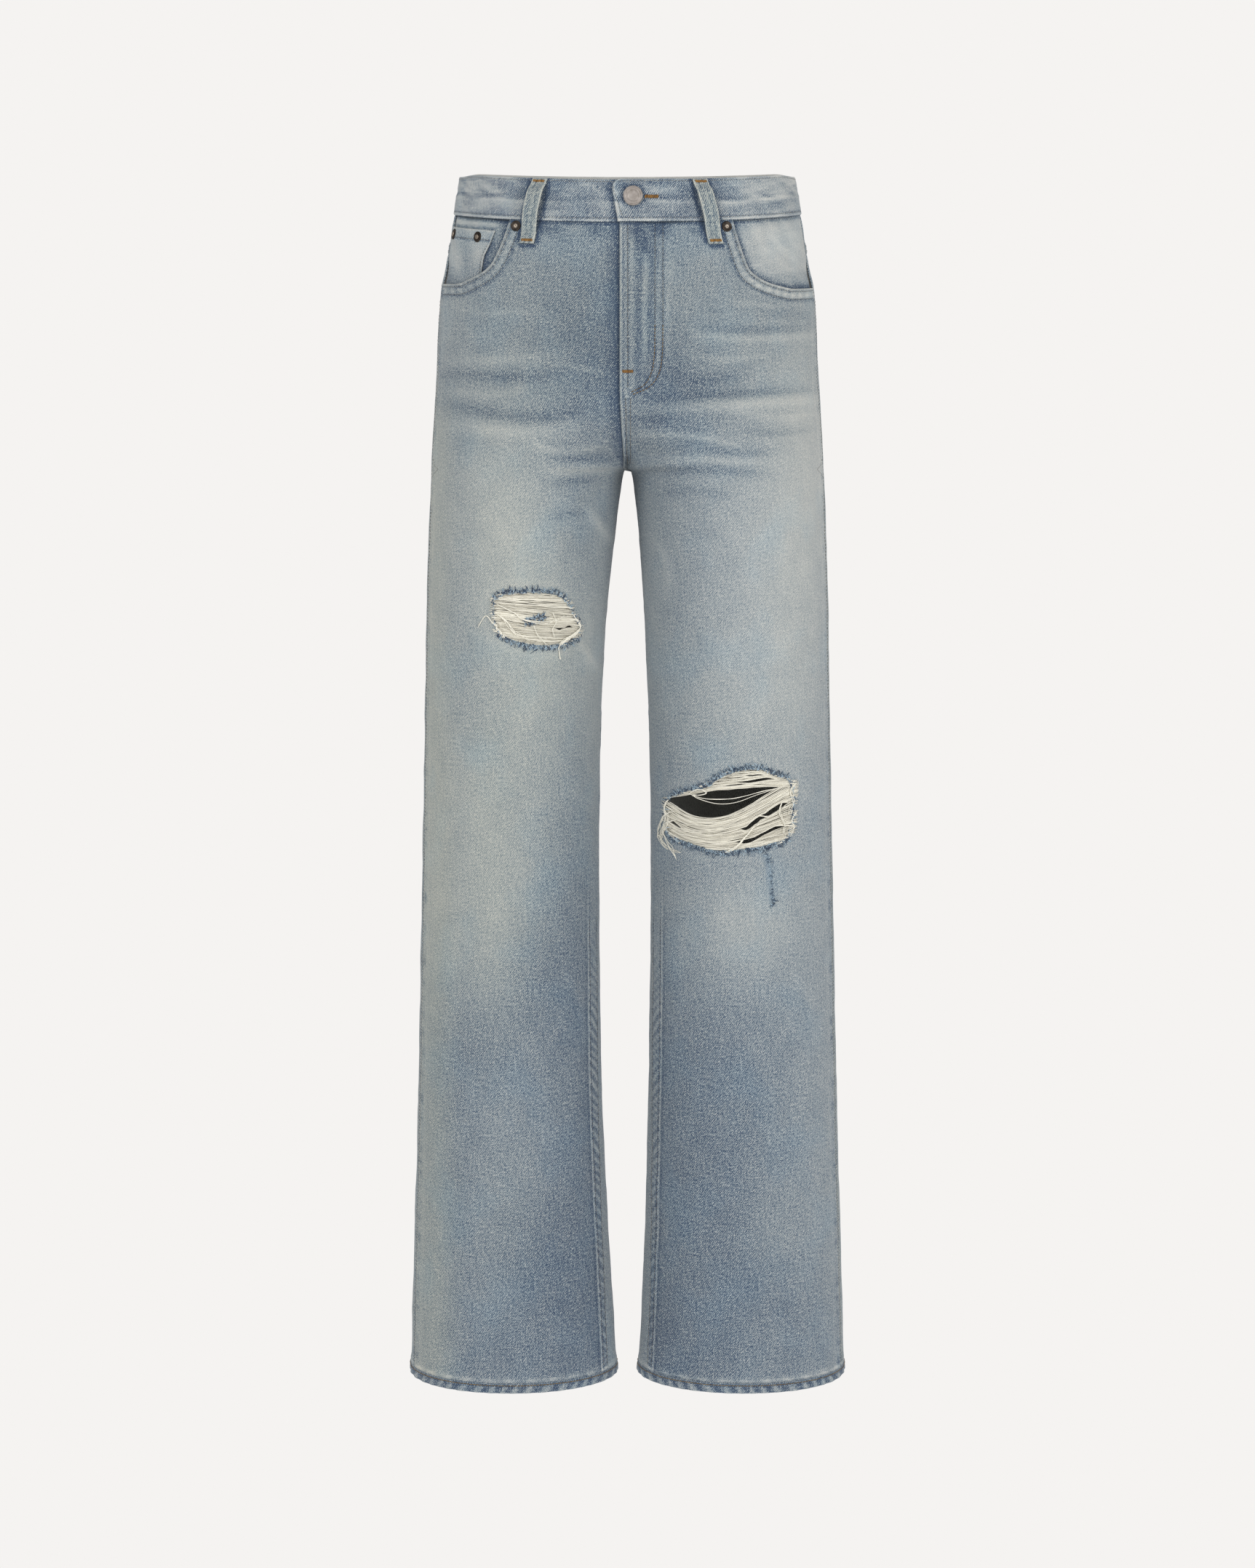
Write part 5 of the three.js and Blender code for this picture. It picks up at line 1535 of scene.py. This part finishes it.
def strands(points, count, spread, seed, radius=0.3):
    """A few copies of one given thread (x, z, height), each straying a little more towards its end."""
    wild = np.random.default_rng(seed)
    curve = smooth_curve(points, 0.5)
    t = np.linspace(0, 1, THREAD_STEPS)
    curve = read_line(curve, t, np.linspace(0, 1, len(curve)))
    out = np.repeat(curve[None], count, 0)
    for k, size in ((0, 1.0), (1, 1.0), (2, 0.3)):
        for wave in (0.6, 1.5, 3.0):
            phase = wild.uniform(0, 6.3, (count, 1))
            stray = 0.6 * size * spread / wave**0.7 * t**0.8
            out[..., k] += stray * np.sin(wave * 6.3 * t + phase)
    radii = radius * np.ones((count, 1)) * np.linspace(1.1, 0.7, THREAD_STEPS)
    return out[..., 0], out[..., 1], np.maximum(out[..., 2], 0.4), radii, wild.normal(0.9, 0.08, count)


def fringe(edge, count, seed, reach=4.2, upright=1.0):
    """Torn warp round a rip: short curly ends, standing mostly up and down and thickest at top and bottom."""
    wild = np.random.default_rng(seed)
    loop = np.vstack([edge, edge[:1]])
    lengths = lengths_along(loop)
    middle = edge.mean(0)
    at = wild.uniform(0, lengths[-1], count)
    base, ahead = read_line(loop, at, lengths), read_line(loop, (at + 1) % lengths[-1], lengths)
    run = unit(ahead - base)
    outwards = np.stack([run[:, 1], -run[:, 0]], -1)
    outwards *= np.sign((outwards * (base - middle)).sum(1, keepdims=True))
    level = np.abs(outwards[:, 1])
    keep = wild.uniform(0, 1, count) < 0.25 + 0.75 * ease(0.3, 0.8, level)
    base, outwards, run, level = base[keep], outwards[keep], run[keep], level[keep]
    count = len(base)
    share = wild.uniform(-0.25, 1, count)
    far = share * mix(1.2, reach, ease(0.3, 0.8, level))
    start = base + outwards * far[:, None]
    stray = wild.normal(0, 0.55, count)
    way = unit(mix(outwards, np.stack([np.zeros(count), np.sign(outwards[:, 1])], -1), 0.7 * upright)
               + run * stray[:, None])
    way *= np.where((wild.uniform(0, 1, count) < 0.5) | (share < 0.45), 1, -1)[:, None]
    steps = 6
    t = np.linspace(0, 1, steps)[None]
    size = wild.uniform(1.4, 3.4, count)[:, None]
    curl = wild.normal(0, 0.5, count)[:, None] * t**2
    side = np.stack([-way[:, 1], way[:, 0]], -1)
    x, z = (start[:, k:k + 1] + way[:, k:k + 1] * size * t + side[:, k:k + 1] * size * curl for k in (0, 1))
    height = 0.1 + np.sin(math.pi * np.clip(t, 0, 1)) * wild.uniform(0.4, 1.2, count)[:, None]
    radius = wild.uniform(0.24, 0.46, (count, 1)) * np.linspace(1.1, 0.6, steps)[None]
    dark = wild.uniform(0, 1, count) < 0.55
    tone = np.where(dark, wild.uniform(0.0, 0.2, count), wild.uniform(0.6, 1.0, count))
    return x, z, height, radius, tone


THIGH_LEFT = [(-108, -347.2), (-114.5, -351), (-115.3, -361), (-114, -370), (-112, -379), (-104, -385.5)]
THIGH_RIGHT = [(-58, -347.4), (-50, -355), (-45, -369), (-40, -378), (-41.5, -386), (-57, -392.8)]
THIGH_NICKS = [(-83, -353.2, 13, 0.35, 0.0), (-52, -378, 5, 0.5, 0.6), (-96, -372, 9, 0.2, -0.3)]
lay_threads("thigh_rip_weft", front_right, [
    weft(THIGH_LEFT, THIGH_RIGHT, bows, count, THIGH_NICKS, seed, deep)
    for bows, count, seed, deep in [((1.4, -3.2), 78, 201, (-1.0, -1.7)),
                                    ((1.4, -3.2), 84, 202, (-1.5, -2.5)),
                                    ((0.6, -4.0), 46, 203, (-1.9, -3.1))]
], ["thigh_rip_threads"])

KNEE_LEFT_UP = [(92, -503), (78, -509.5), (64, -519), (48, -525.5), (37.5, -531)]
KNEE_RIGHT_UP = [(120, -502), (133, -508), (145.5, -512.5), (146.5, -515), (147, -518)]
KNEE_LEFT_LOW = [(36.5, -532.5), (36, -540), (36.2, -550), (37.4, -558), (46, -566)]
KNEE_RIGHT_LOW = [(148, -512), (147, -528), (146.4, -545), (145.5, -558), (133, -566)]
KNEE_SLOTS = [(129, -538.0, 10.5, 3.3, 0.62), (111.5, -549.0, 8.5, 2.9, 0.78), (119, -559.4, 16, 1.7, 0.55),
              (43, -553, 4.5, 1.6, -0.7)]
KNEE_NICKS = [(114, -511, 13, 1.5, 0.16), (96, -514.8, 10, 0.8, 0.1), (112, -506.6, 6, 0.8, 0.15)]
lay_threads("knee_rip_weft_upper", front_left, [
    weft(KNEE_LEFT_UP, KNEE_RIGHT_UP, (2.0, 6.4), 32, KNEE_NICKS, 211, (-1.0, -1.6)),
    weft(KNEE_LEFT_UP, KNEE_RIGHT_UP, (2.0, 6.2), 32, KNEE_NICKS, 212, (-1.4, -2.4)),
    strands([(58, -524.5, 0.6), (64, -528, -1), (80, -531.5, -1.6), (96, -530, -1.6), (112, -524, -1.4),
             (132, -517.5, -1)], 1, 0.2, 213, 0.34),
    strands([(54, -523.5, 0.8), (68, -527.5, -1), (90, -527.4, -1.6), (104, -524.6, -1.6), (120, -520, -1.4),
             (136, -517, -1)], 2, 0.6, 214, 0.3),
], ["knee_rip_threads_upper"])
lay_threads("knee_rip_weft_lower", front_left, [
    *[weft(KNEE_LEFT_LOW, KNEE_RIGHT_LOW, bows, count, KNEE_SLOTS, seed, deep, skew=skew, peaked=1.8)
      for bows, count, seed, deep, skew in [((-21.4, -9.0), 54, 221, (-1.0, -1.7), 0.7),
                                            ((-21.0, -9.0), 56, 222, (-1.5, -2.5), 0.7),
                                            ((-19.8, -9.4), 30, 223, (-2.0, -3.1), 0.72)]],
    weft([(37, -535), (37, -556)], [(147, -514), (147, -531)], (-18, -13), 12, KNEE_SLOTS, 224, (-0.7, -1.1),
         skew=0.75, peaked=1.5),
], ["knee_rip_threads_lower"])

lay_threads("thigh_rip_loose_threads", front_right, [
    strands([(-108, -384, 0.5), (-112, -377, 0.9), (-117, -370, 1.0), (-121.5, -366, 0.9), (-125, -370, 0.8),
             (-128.5, -375.5, 0.7)], 2, 0.5, 231, 0.3),
    strands([(-104, -386, 0.4), (-108, -381, 0.8), (-112, -375, 0.9), (-117, -369.5, 0.9)],
            4, 1.0, 236, 0.32),
    strands([(-47, -366, 0.3), (-41, -374, 0.9), (-42, -381, 1.1), (-50, -386.5, 1.2), (-57.5, -390.5, 1.0)],
            15, 1.3, 232, 0.34),
    strands([(-56, -389, 1.0), (-58.6, -394, 1.0), (-58, -400, 0.9), (-57, -405.2, 0.8)], 3, 0.5, 233, 0.32),
    strands([(-64, -363, 0.2), (-60.5, -372, 0.4), (-64, -378, 0.5), (-62, -385, 0.5)], 2, 0.6, 234, 0.26),
    strands([(-112, -364, 0.1), (-104, -371, 0.4), (-96, -381, 0.4), (-84, -386, 0.3)], 5, 1.8, 235, 0.28),
    strands([(-112, -356, 0.1), (-96, -364, 0.3), (-90, -369, 0.2), (-72, -372, 0.1), (-52, -366, 0.2)],
            4, 1.5, 237, 0.3),
    strands([(-80, -374, 0.2), (-77, -382, 0.4), (-72, -388, 0.5), (-66, -394, 0.6)], 2, 0.8, 238, 0.26),
], [])
lay_threads("knee_rip_loose_threads", front_left, [
    strands([(44, -541, 0.4), (37, -545, 0.9), (33, -553, 1.1), (31, -562, 1.1), (33, -570, 0.9),
             (39, -577, 0.8)], 5, 1.9, 241, 0.27),
    strands([(45, -549, 0.4), (37, -553, 1.0), (34, -561, 1.0), (39, -571, 0.9), (46, -583, 0.8)],
            4, 1.6, 242, 0.27),
    strands([(42, -556, 0.4), (36, -559, 1.0), (32, -567, 1.0), (38, -574, 0.9), (49, -577, 0.8)],
            3, 1.6, 246, 0.26),
    strands([(39, -531, 0.3), (36, -539, 0.9), (38, -548, 1.0), (36, -558, 1.0), (32, -567, 0.9)],
            9, 2.0, 247, 0.3),
    strands([(57, -523.5, 0.7), (61, -520.4, 1.2), (68, -520.0, 1.3), (71, -522.5, 1.0), (66, -524.6, 0.8),
             (59, -525.4, 0.7)], 3, 0.6, 243, 0.3),
    strands([(112, -551, 0.4), (105, -560, 0.6), (97, -569, 0.7), (88, -574.5, 0.8)], 4, 0.8, 244, 0.32),
    strands([(136, -530, 0.3), (134, -540, 0.5), (139, -550, 0.5), (138, -558, 0.4)], 3, 1.6, 245, 0.28),
    strands([(148, -514, 0.6), (143, -522, 0.6), (145, -531, 0.5), (141, -541, 0.4)], 4, 1.8, 248, 0.28),
    strands([(149, -540, 0.6), (144, -546, 0.6), (146, -553, 0.5), (142, -560, 0.4)], 4, 1.6, 249, 0.28),
], [])
# A shred of warp left across the middle of the thigh's rip
REMNANT = closed_curve([(-88, -371.4), (-80, -369), (-70, -365.6), (-69, -366.8), (-76, -370), (-86, -372.6)],
                       1.0)
lay_threads("thigh_rip_fringe", front_right, [
    fringe(THIGH_EDGE, 560, 251),
    tuple(a if k != 2 else a - 1.0 for k, a in enumerate(fringe(REMNANT, 110, 252, 1.2))),
], [], INDIGO)
scar_line = smooth_curve(SCAR, 1.5)
lay_threads("knee_rip_fringe", front_left, [
    fringe(KNEE_EDGE, 800, 261, 4.0),
    fringe(np.vstack([scar_line, scar_line[::-1] + [0.4, 0]]), 240, 262, 1.7, 0.3),
], [], INDIGO)


# ---- stitching ----

STITCH_SHAPE = np.array([0, 0.2, 0.8, 1.0])         # where its four points are along it
STITCH_DIP = np.array([-0.28, 0.0, 0.0, -0.28])     # its two ends go down into the cloth
STITCH_TAPER = np.array([0.5, 1, 1, 0.5])


def stitches_along(path, normals, pitch, long, thick, height):
    lengths = lengths_along(path)
    at = np.arange(pitch * 0.3, lengths[-1] - long, pitch)[:, None] + long * STITCH_SHAPE
    outward = unit(read_line(normals, at, lengths))
    spots = read_line(path, at, lengths) + outward * (STITCH_DIP + height)[:, None]
    return spots, outward, np.broadcast_to(thick * STITCH_TAPER, at.shape)


def stitch_run(cloth, key, points, pitch=3.0, long=2.3, thick=0.26, curved=True, height=0.12):
    """Stitches along a line of (value, z) on a piece of cloth, where key says what the value is."""
    line = smooth_curve(points, 1.0) if curved else respace(np.array(points, float), 1.0)
    return stitches_along(*cloth.spot(key, line[:, 0], line[:, 1]), pitch, long, thick, height)


def run_through(cloth, j, i, pitch=3.0, long=2.3, thick=0.26, height=0.12):
    """Stitches along a line of fractional rows and columns of a piece of cloth."""
    path, normals = cloth.read(cloth.points, j, i), unit(cloth.read(cloth.normals, j, i))
    return stitches_along(path, normals, pitch, long, thick, height)


def bartack(cloth, key, value, z, wide, tall, height=0.3):
    """A tack: close zigzag stitches side by side."""
    count = int(wide / 0.62)
    t = np.linspace(-0.5, 0.5, count)
    value_at = value + t[:, None] * wide + np.array([-0.25, -0.08, 0.08, 0.25])[None]
    z_at = z + tall * np.array([0.5, 0.25, -0.25, -0.5])[None] + random.normal(0, 0.12, (count, 1))
    points, normals = cloth.spot(key, value_at, z_at)
    points, normals = points.reshape(count, 4, 3), normals.reshape(count, 4, 3)
    points = points + normals * (np.array([-0.1, 0.2, 0.2, -0.1]) + height)[None, :, None]
    return points, normals, np.broadcast_to(0.3 * np.array([0.6, 1, 1, 0.6]), (count, 4))


def sew(name, runs, material, tone=0.55):
    paths = np.concatenate([r[0] for r in runs])
    piece = tubes(name, paths, np.concatenate([r[1] for r in runs]), np.concatenate([r[2] for r in runs]),
                  np.clip(random.normal(tone, 0.2, len(paths)), 0.05, 1), material)
    finish_piece(piece, [])


def offset_curve(curve, distance):
    """The same line moved to its right by a distance."""
    run = unit(np.gradient(curve, axis=0))
    return curve + np.stack([run[:, 1], -run[:, 0]], -1) * distance


def sew_front(cloth, name, side):
    edge = smooth_curve(SCOOPS[side], 2)
    edge = edge[(edge[:, 1] < -19) & (np.abs(edge[:, 0]) < 163)]
    runs = [stitch_run(cloth, "x", offset_curve(edge, side * d), curved=False) for d in (2.4, 9.2)]
    z = np.linspace(-84, -1054, 60)
    side_seam = np.stack([total_length("front", z) - 1.9, z], -1)
    runs.append(stitch_run(cloth, "across", side_seam, 3.1, thick=0.2, height=0.05))
    for row in INSEAM_ROWS:
        z = np.linspace(-640, -1054, 110)
        line = np.stack([side * through(row, z), z], -1)
        runs.append(stitch_run(cloth, "x", line, 3.1, thick=0.26, curved=False))
    if side > 0:
        for row in FLY_ROWS:
            runs.append(stitch_run(cloth, "x", row[:2], 2.9, 2.3, 0.28))
        sew("fly_curve_stitches", [stitch_run(cloth, "x", row[1:], 2.9, 2.4, 0.4) for row in FLY_ROWS],
            BROWN_THREAD, 0.35)
        runs.append(stitch_run(cloth, "x", [(0.2, -20), (0.2, -100), (0.2, -173)], 2.9, thick=0.3))
        for row in CROTCH_ROWS:
            runs.append(stitch_run(cloth, "x", row, 2.9, thick=0.34))
    sew(f"front_{name}_stitches", runs, GREY_THREAD, 0.3)


def tab_across(x):
    """The waistband's running length where its tab, or the front beside it, is this far from the middle."""
    return np.interp(x, band.x[band.z.shape[0] // 2, -50:][::-1], band.across[0, -50:][::-1])


def sew_band():
    value = band.across[0, 14:-1]
    level_lines = [np.stack([value, np.full_like(value, z)], -1) for z in (-15.2, 15.4)]
    runs = [stitch_run(band, "across", line, 3.0, curved=False, thick=0.2) for line in level_lines]
    z = np.linspace(12, -14, 20)
    tab_line = np.stack([tab_across(through(TAB_EDGE, z) + 2.6), z], -1)
    runs.append(stitch_run(band, "across", tab_line, 3.0, thick=0.24))
    sew("waistband_stitches", runs, GREY_THREAD, 0.45)


def sew_hems():
    runs = []
    for cloth in hems.values():
        value = np.linspace(1, cloth.across[0, -2], 300)
        runs.append(stitch_run(cloth, "across", np.stack([value, np.full(300, -1058.6)], -1), 2.9, 2.5, 0.42,
                               curved=False, height=0.2))
    sew("hem_stitches", runs, BROWN_THREAD, 0.3)


def sew_backs():
    runs = []
    for side_name, cloth in backs.items():
        side_seam = np.stack([np.full(60, 1.9), np.linspace(-92, -1054, 60)], -1)
        runs.append(stitch_run(cloth, "across", side_seam, 3.1, thick=0.2, height=0.05))
        z = np.linspace(-92, -232, 50)
        total = total_length("back", z)
        for distance in (1.2, 7.0):
            runs.append(stitch_run(cloth, "across", np.stack([total - distance, z], -1), 3.0))
        patch = back_pockets[side_name]
        for inset in (2.4, 8.6):
            runs.append(pocket_run(patch, inset))
        runs.append(row_run(patch, patch.z.shape[0] * 0.115, 1))
        yoke = yokes[side_name]
        for above in (1.6, 8.0):
            runs.append(row_run(yoke, yoke.z.shape[0] - 1 - above / 2.2, 0))
    sew("back_stitches", runs, GREY_THREAD, 0.6)


def row_run(cloth, row, margin):
    i = np.linspace(margin, cloth.z.shape[1] - 1 - margin, 200)
    return run_through(cloth, np.full(200, float(row)), i)


def pocket_run(patch, inset):
    """Stitches down one side of a back pocket, round its point and up the other side."""
    rows, columns_in = patch.z.shape
    p = BACK_POCKET
    side_columns = inset / (2 * p["top"]) * (columns_in - 1)
    bottom = (rows - 1) * (1 - inset / (p["straight"] + p["point"] / 2))
    down = np.linspace(0.6, bottom, 90)
    across = np.linspace(side_columns, columns_in - 1 - side_columns, 120)
    j = np.concatenate([down, np.full(120, bottom), down[::-1]])
    i = np.concatenate([np.full(90, side_columns), across, np.full(90, columns_in - 1 - side_columns)])
    return run_through(patch, j, i)


def sew_coin_pocket():
    value = np.linspace(coin.across[5, 0] + 1, coin.across[5, -1] - 2, 30)
    runs = [stitch_run(coin, "across", np.stack([value, np.full(30, -36.6)], -1), 3.0, curved=False)]
    z = np.linspace(-40, -88, 40)
    start = length_at_x("front", through(COIN_EDGE, z), z)
    runs.append(stitch_run(coin, "across", np.stack([start + 1.8, z], -1), 3.0))
    sew("pocket_stitches", runs, GREY_THREAD, 0.6)


def sew_tacks():
    runs = [bartack(front_left, "x", 0.2, -156.5, 8.5, 2.6)]
    for cloth in loops.values():
        runs.append(bartack(cloth, "across", 0, 14.4, 9.6, 2.2, 0.15))
        runs.append(bartack(cloth, "across", 0, -35.2, 9.6, 2.4, 0.15))
    for patch in back_pockets.values():
        for column in (3.0, patch.z.shape[1] - 4.0):
            i = column + np.linspace(-1.6, 1.6, 24)
            runs.append(run_through(patch, np.full(24, 1.2), i, 0.62, 0.5, 0.3))
    buttonhole_end = tab_across(np.linspace(14, 27, 16)).mean()
    runs.append(bartack(band, "across", buttonhole_end, 2.6, 11.0, 3.0, 0.25))
    sew("tacks", runs, TAN_THREAD, 0.5)


sew_front(front_left, "left", 1)
sew_front(front_right, "right", -1)
sew_band()
sew_hems()
sew_backs()
sew_coin_pocket()
sew_tacks()


# ---- button and rivets ----

def turned(name, profile, segments, centre, outward, material, nodes, slot):
    """A turned piece: profile is (radius, height), standing on centre along outward."""
    outward = unit(np.asarray(outward, float))
    side = unit(np.cross(outward, [0.0, 0.0, 1.0]))
    up = np.cross(side, outward)
    turn = np.linspace(0, 2 * math.pi, segments, endpoint=False)
    round_it = side * np.cos(turn)[:, None] + up * np.sin(turn)[:, None]
    points = np.array([centre + outward * h + r * round_it for r, h in profile])
    index = np.arange(len(profile) * segments).reshape(len(profile), segments)
    right = np.roll(index, -1, 1)
    quads = np.stack([index[:-1], right[:-1], right[1:], index[1:]], -1).reshape(-1, 4).tolist()
    faces = quads + [index[0, ::-1].tolist(), index[-1].tolist()]
    finish_piece(make_object(name, points, faces, material), nodes)


# Each profile is (radius, height): a dished cap with two plain rings, and a rivet's cap and its nipple
BUTTON_PROFILE = [(4.0, -2.5), (4.0, 0.6), (7.0, 0.9), (8.0, 1.3), (8.4, 1.9), (8.4, 2.4), (8.1, 2.9),
                  (7.5, 3.2), (7.1, 3.2), (6.8, 3.0), (6.6, 2.8), (5.3, 2.8), (5.15, 3.0), (4.95, 3.0),
                  (4.8, 2.7), (3.0, 2.7), (1.2, 2.75), (0.3, 2.75)]
RIVET_PROFILE = [(4.5, -0.5), (4.65, 0.2), (4.55, 0.5), (4.2, 0.75), (3.7, 0.8), (3.3, 0.65), (2.9, 0.5),
                 (2.3, 0.5)]
NIPPLE_PROFILE = [(2.3, 0.2), (2.1, 0.9), (1.8, 1.35), (1.3, 1.6), (0.7, 1.5), (0.3, 1.35)]
BUTTON_X, BUTTON_Z = 5, 3.3


def add_button():
    point, normal = band.spot("across", [tab_across(BUTTON_X)], [BUTTON_Z])
    turned("waist_button_metal", BUTTON_PROFILE, 64, point[0] + normal[0] * 0.9, normal[0], BUTTON,
           ["waist_button"], "button_metal")


def add_rivet(node, cloth, key, value, z):
    point, normal = cloth.spot(key, [value], [z])
    turned(f"{node}_cap", RIVET_PROFILE, 32, point[0], normal[0], RIVET, [node], "rivet_metal")
    turned(f"{node}_nipple", NIPPLE_PROFILE, 24, point[0], normal[0], NIPPLE, [], "rivet_metal")


POCKET_RIVET_Z, COIN_RIVET_Z = -23.4, -34.5
add_button()
add_rivet("rivet_pocket_left", front_left, "x", 85, POCKET_RIVET_Z)
add_rivet("rivet_pocket_right", front_right, "x", -95.8, POCKET_RIVET_Z)
for coin_node, coin_to_seam in (("rivet_coin_front", 50), ("rivet_coin_side", 9)):
    add_rivet(coin_node, coin, "across", total_length("front", COIN_RIVET_Z)[0] - coin_to_seam, COIN_RIVET_Z)


# ---- camera, lights and stage ----

CAMERA_AWAY, CAMERA_Z, CAMERA_AIM_Z = 2.9, -0.183, -0.524     # metres; it aims at the garment's middle
CAMERA_LENS = 74.44


def add_camera():
    data = bpy.data.cameras.new("camera")
    data.sensor_fit = "VERTICAL"
    data.sensor_height = 36
    data.lens = CAMERA_LENS
    camera = link_object("camera", data)
    camera.location = (0, -CAMERA_AWAY, CAMERA_Z)
    tilt = math.atan2(CAMERA_Z - CAMERA_AIM_Z, CAMERA_AWAY)
    camera.rotation_euler = (math.pi / 2 - tilt, 0, 0)
    bpy.context.scene.camera = camera


# Each light's name, place, what it aims at, size and power
LIGHTS = [("key", (-1.6, -2.6, 1.2), (0, 0, -0.5), 1.6, 32),
          ("fill", (1.8, -2.4, 0.2), (0, 0, -0.6), 1.8, 30),
          ("back", (0.4, 3.2, 0.6), (0, 0, -0.5), 2.0, 46)]


def add_light(name, place, aim, size, power):
    data = bpy.data.lights.new(name, "AREA")
    data.shape = "DISK"
    data.size = size
    data.energy = power
    light = link_object(name, data)
    light.location = place
    light.rotation_euler = (Vector(aim) - Vector(place)).to_track_quat("-Z", "Y").to_euler()


STAGE_HALF, STAGE_Z = 6000, -1600


def add_stage():
    colour = srgb(245, 243, 241)
    world = bpy.data.worlds.new("studio")
    bpy.context.scene.world = world
    world.use_nodes = True
    tree = world.node_tree
    seen = tree.nodes["Background"]
    seen.inputs[0].default_value = colour
    lit = tree.nodes.new("ShaderNodeBackground")
    lit.inputs[0].default_value = colour
    lit.inputs[1].default_value = 0.55
    pick = tree.nodes.new("ShaderNodeMixShader")
    tree.links.new(tree.nodes.new("ShaderNodeLightPath").outputs["Is Camera Ray"], pick.inputs[0])
    tree.links.new(lit.outputs[0], pick.inputs[1])
    tree.links.new(seen.outputs[0], pick.inputs[2])
    tree.links.new(pick.outputs[0], tree.nodes["World Output"].inputs[0])
    corners = [(x * STAGE_HALF, y * STAGE_HALF, STAGE_Z) for x, y in ((-1, -1), (1, -1), (1, 1), (-1, 1))]
    floor = make_object("stage_floor", corners, [(0, 1, 2, 3)], plain_stage("stage", colour))
    bpy.context.scene.view_settings.view_transform = "Standard"


add_camera()
add_stage()
for light in LIGHTS:
    add_light(*light)
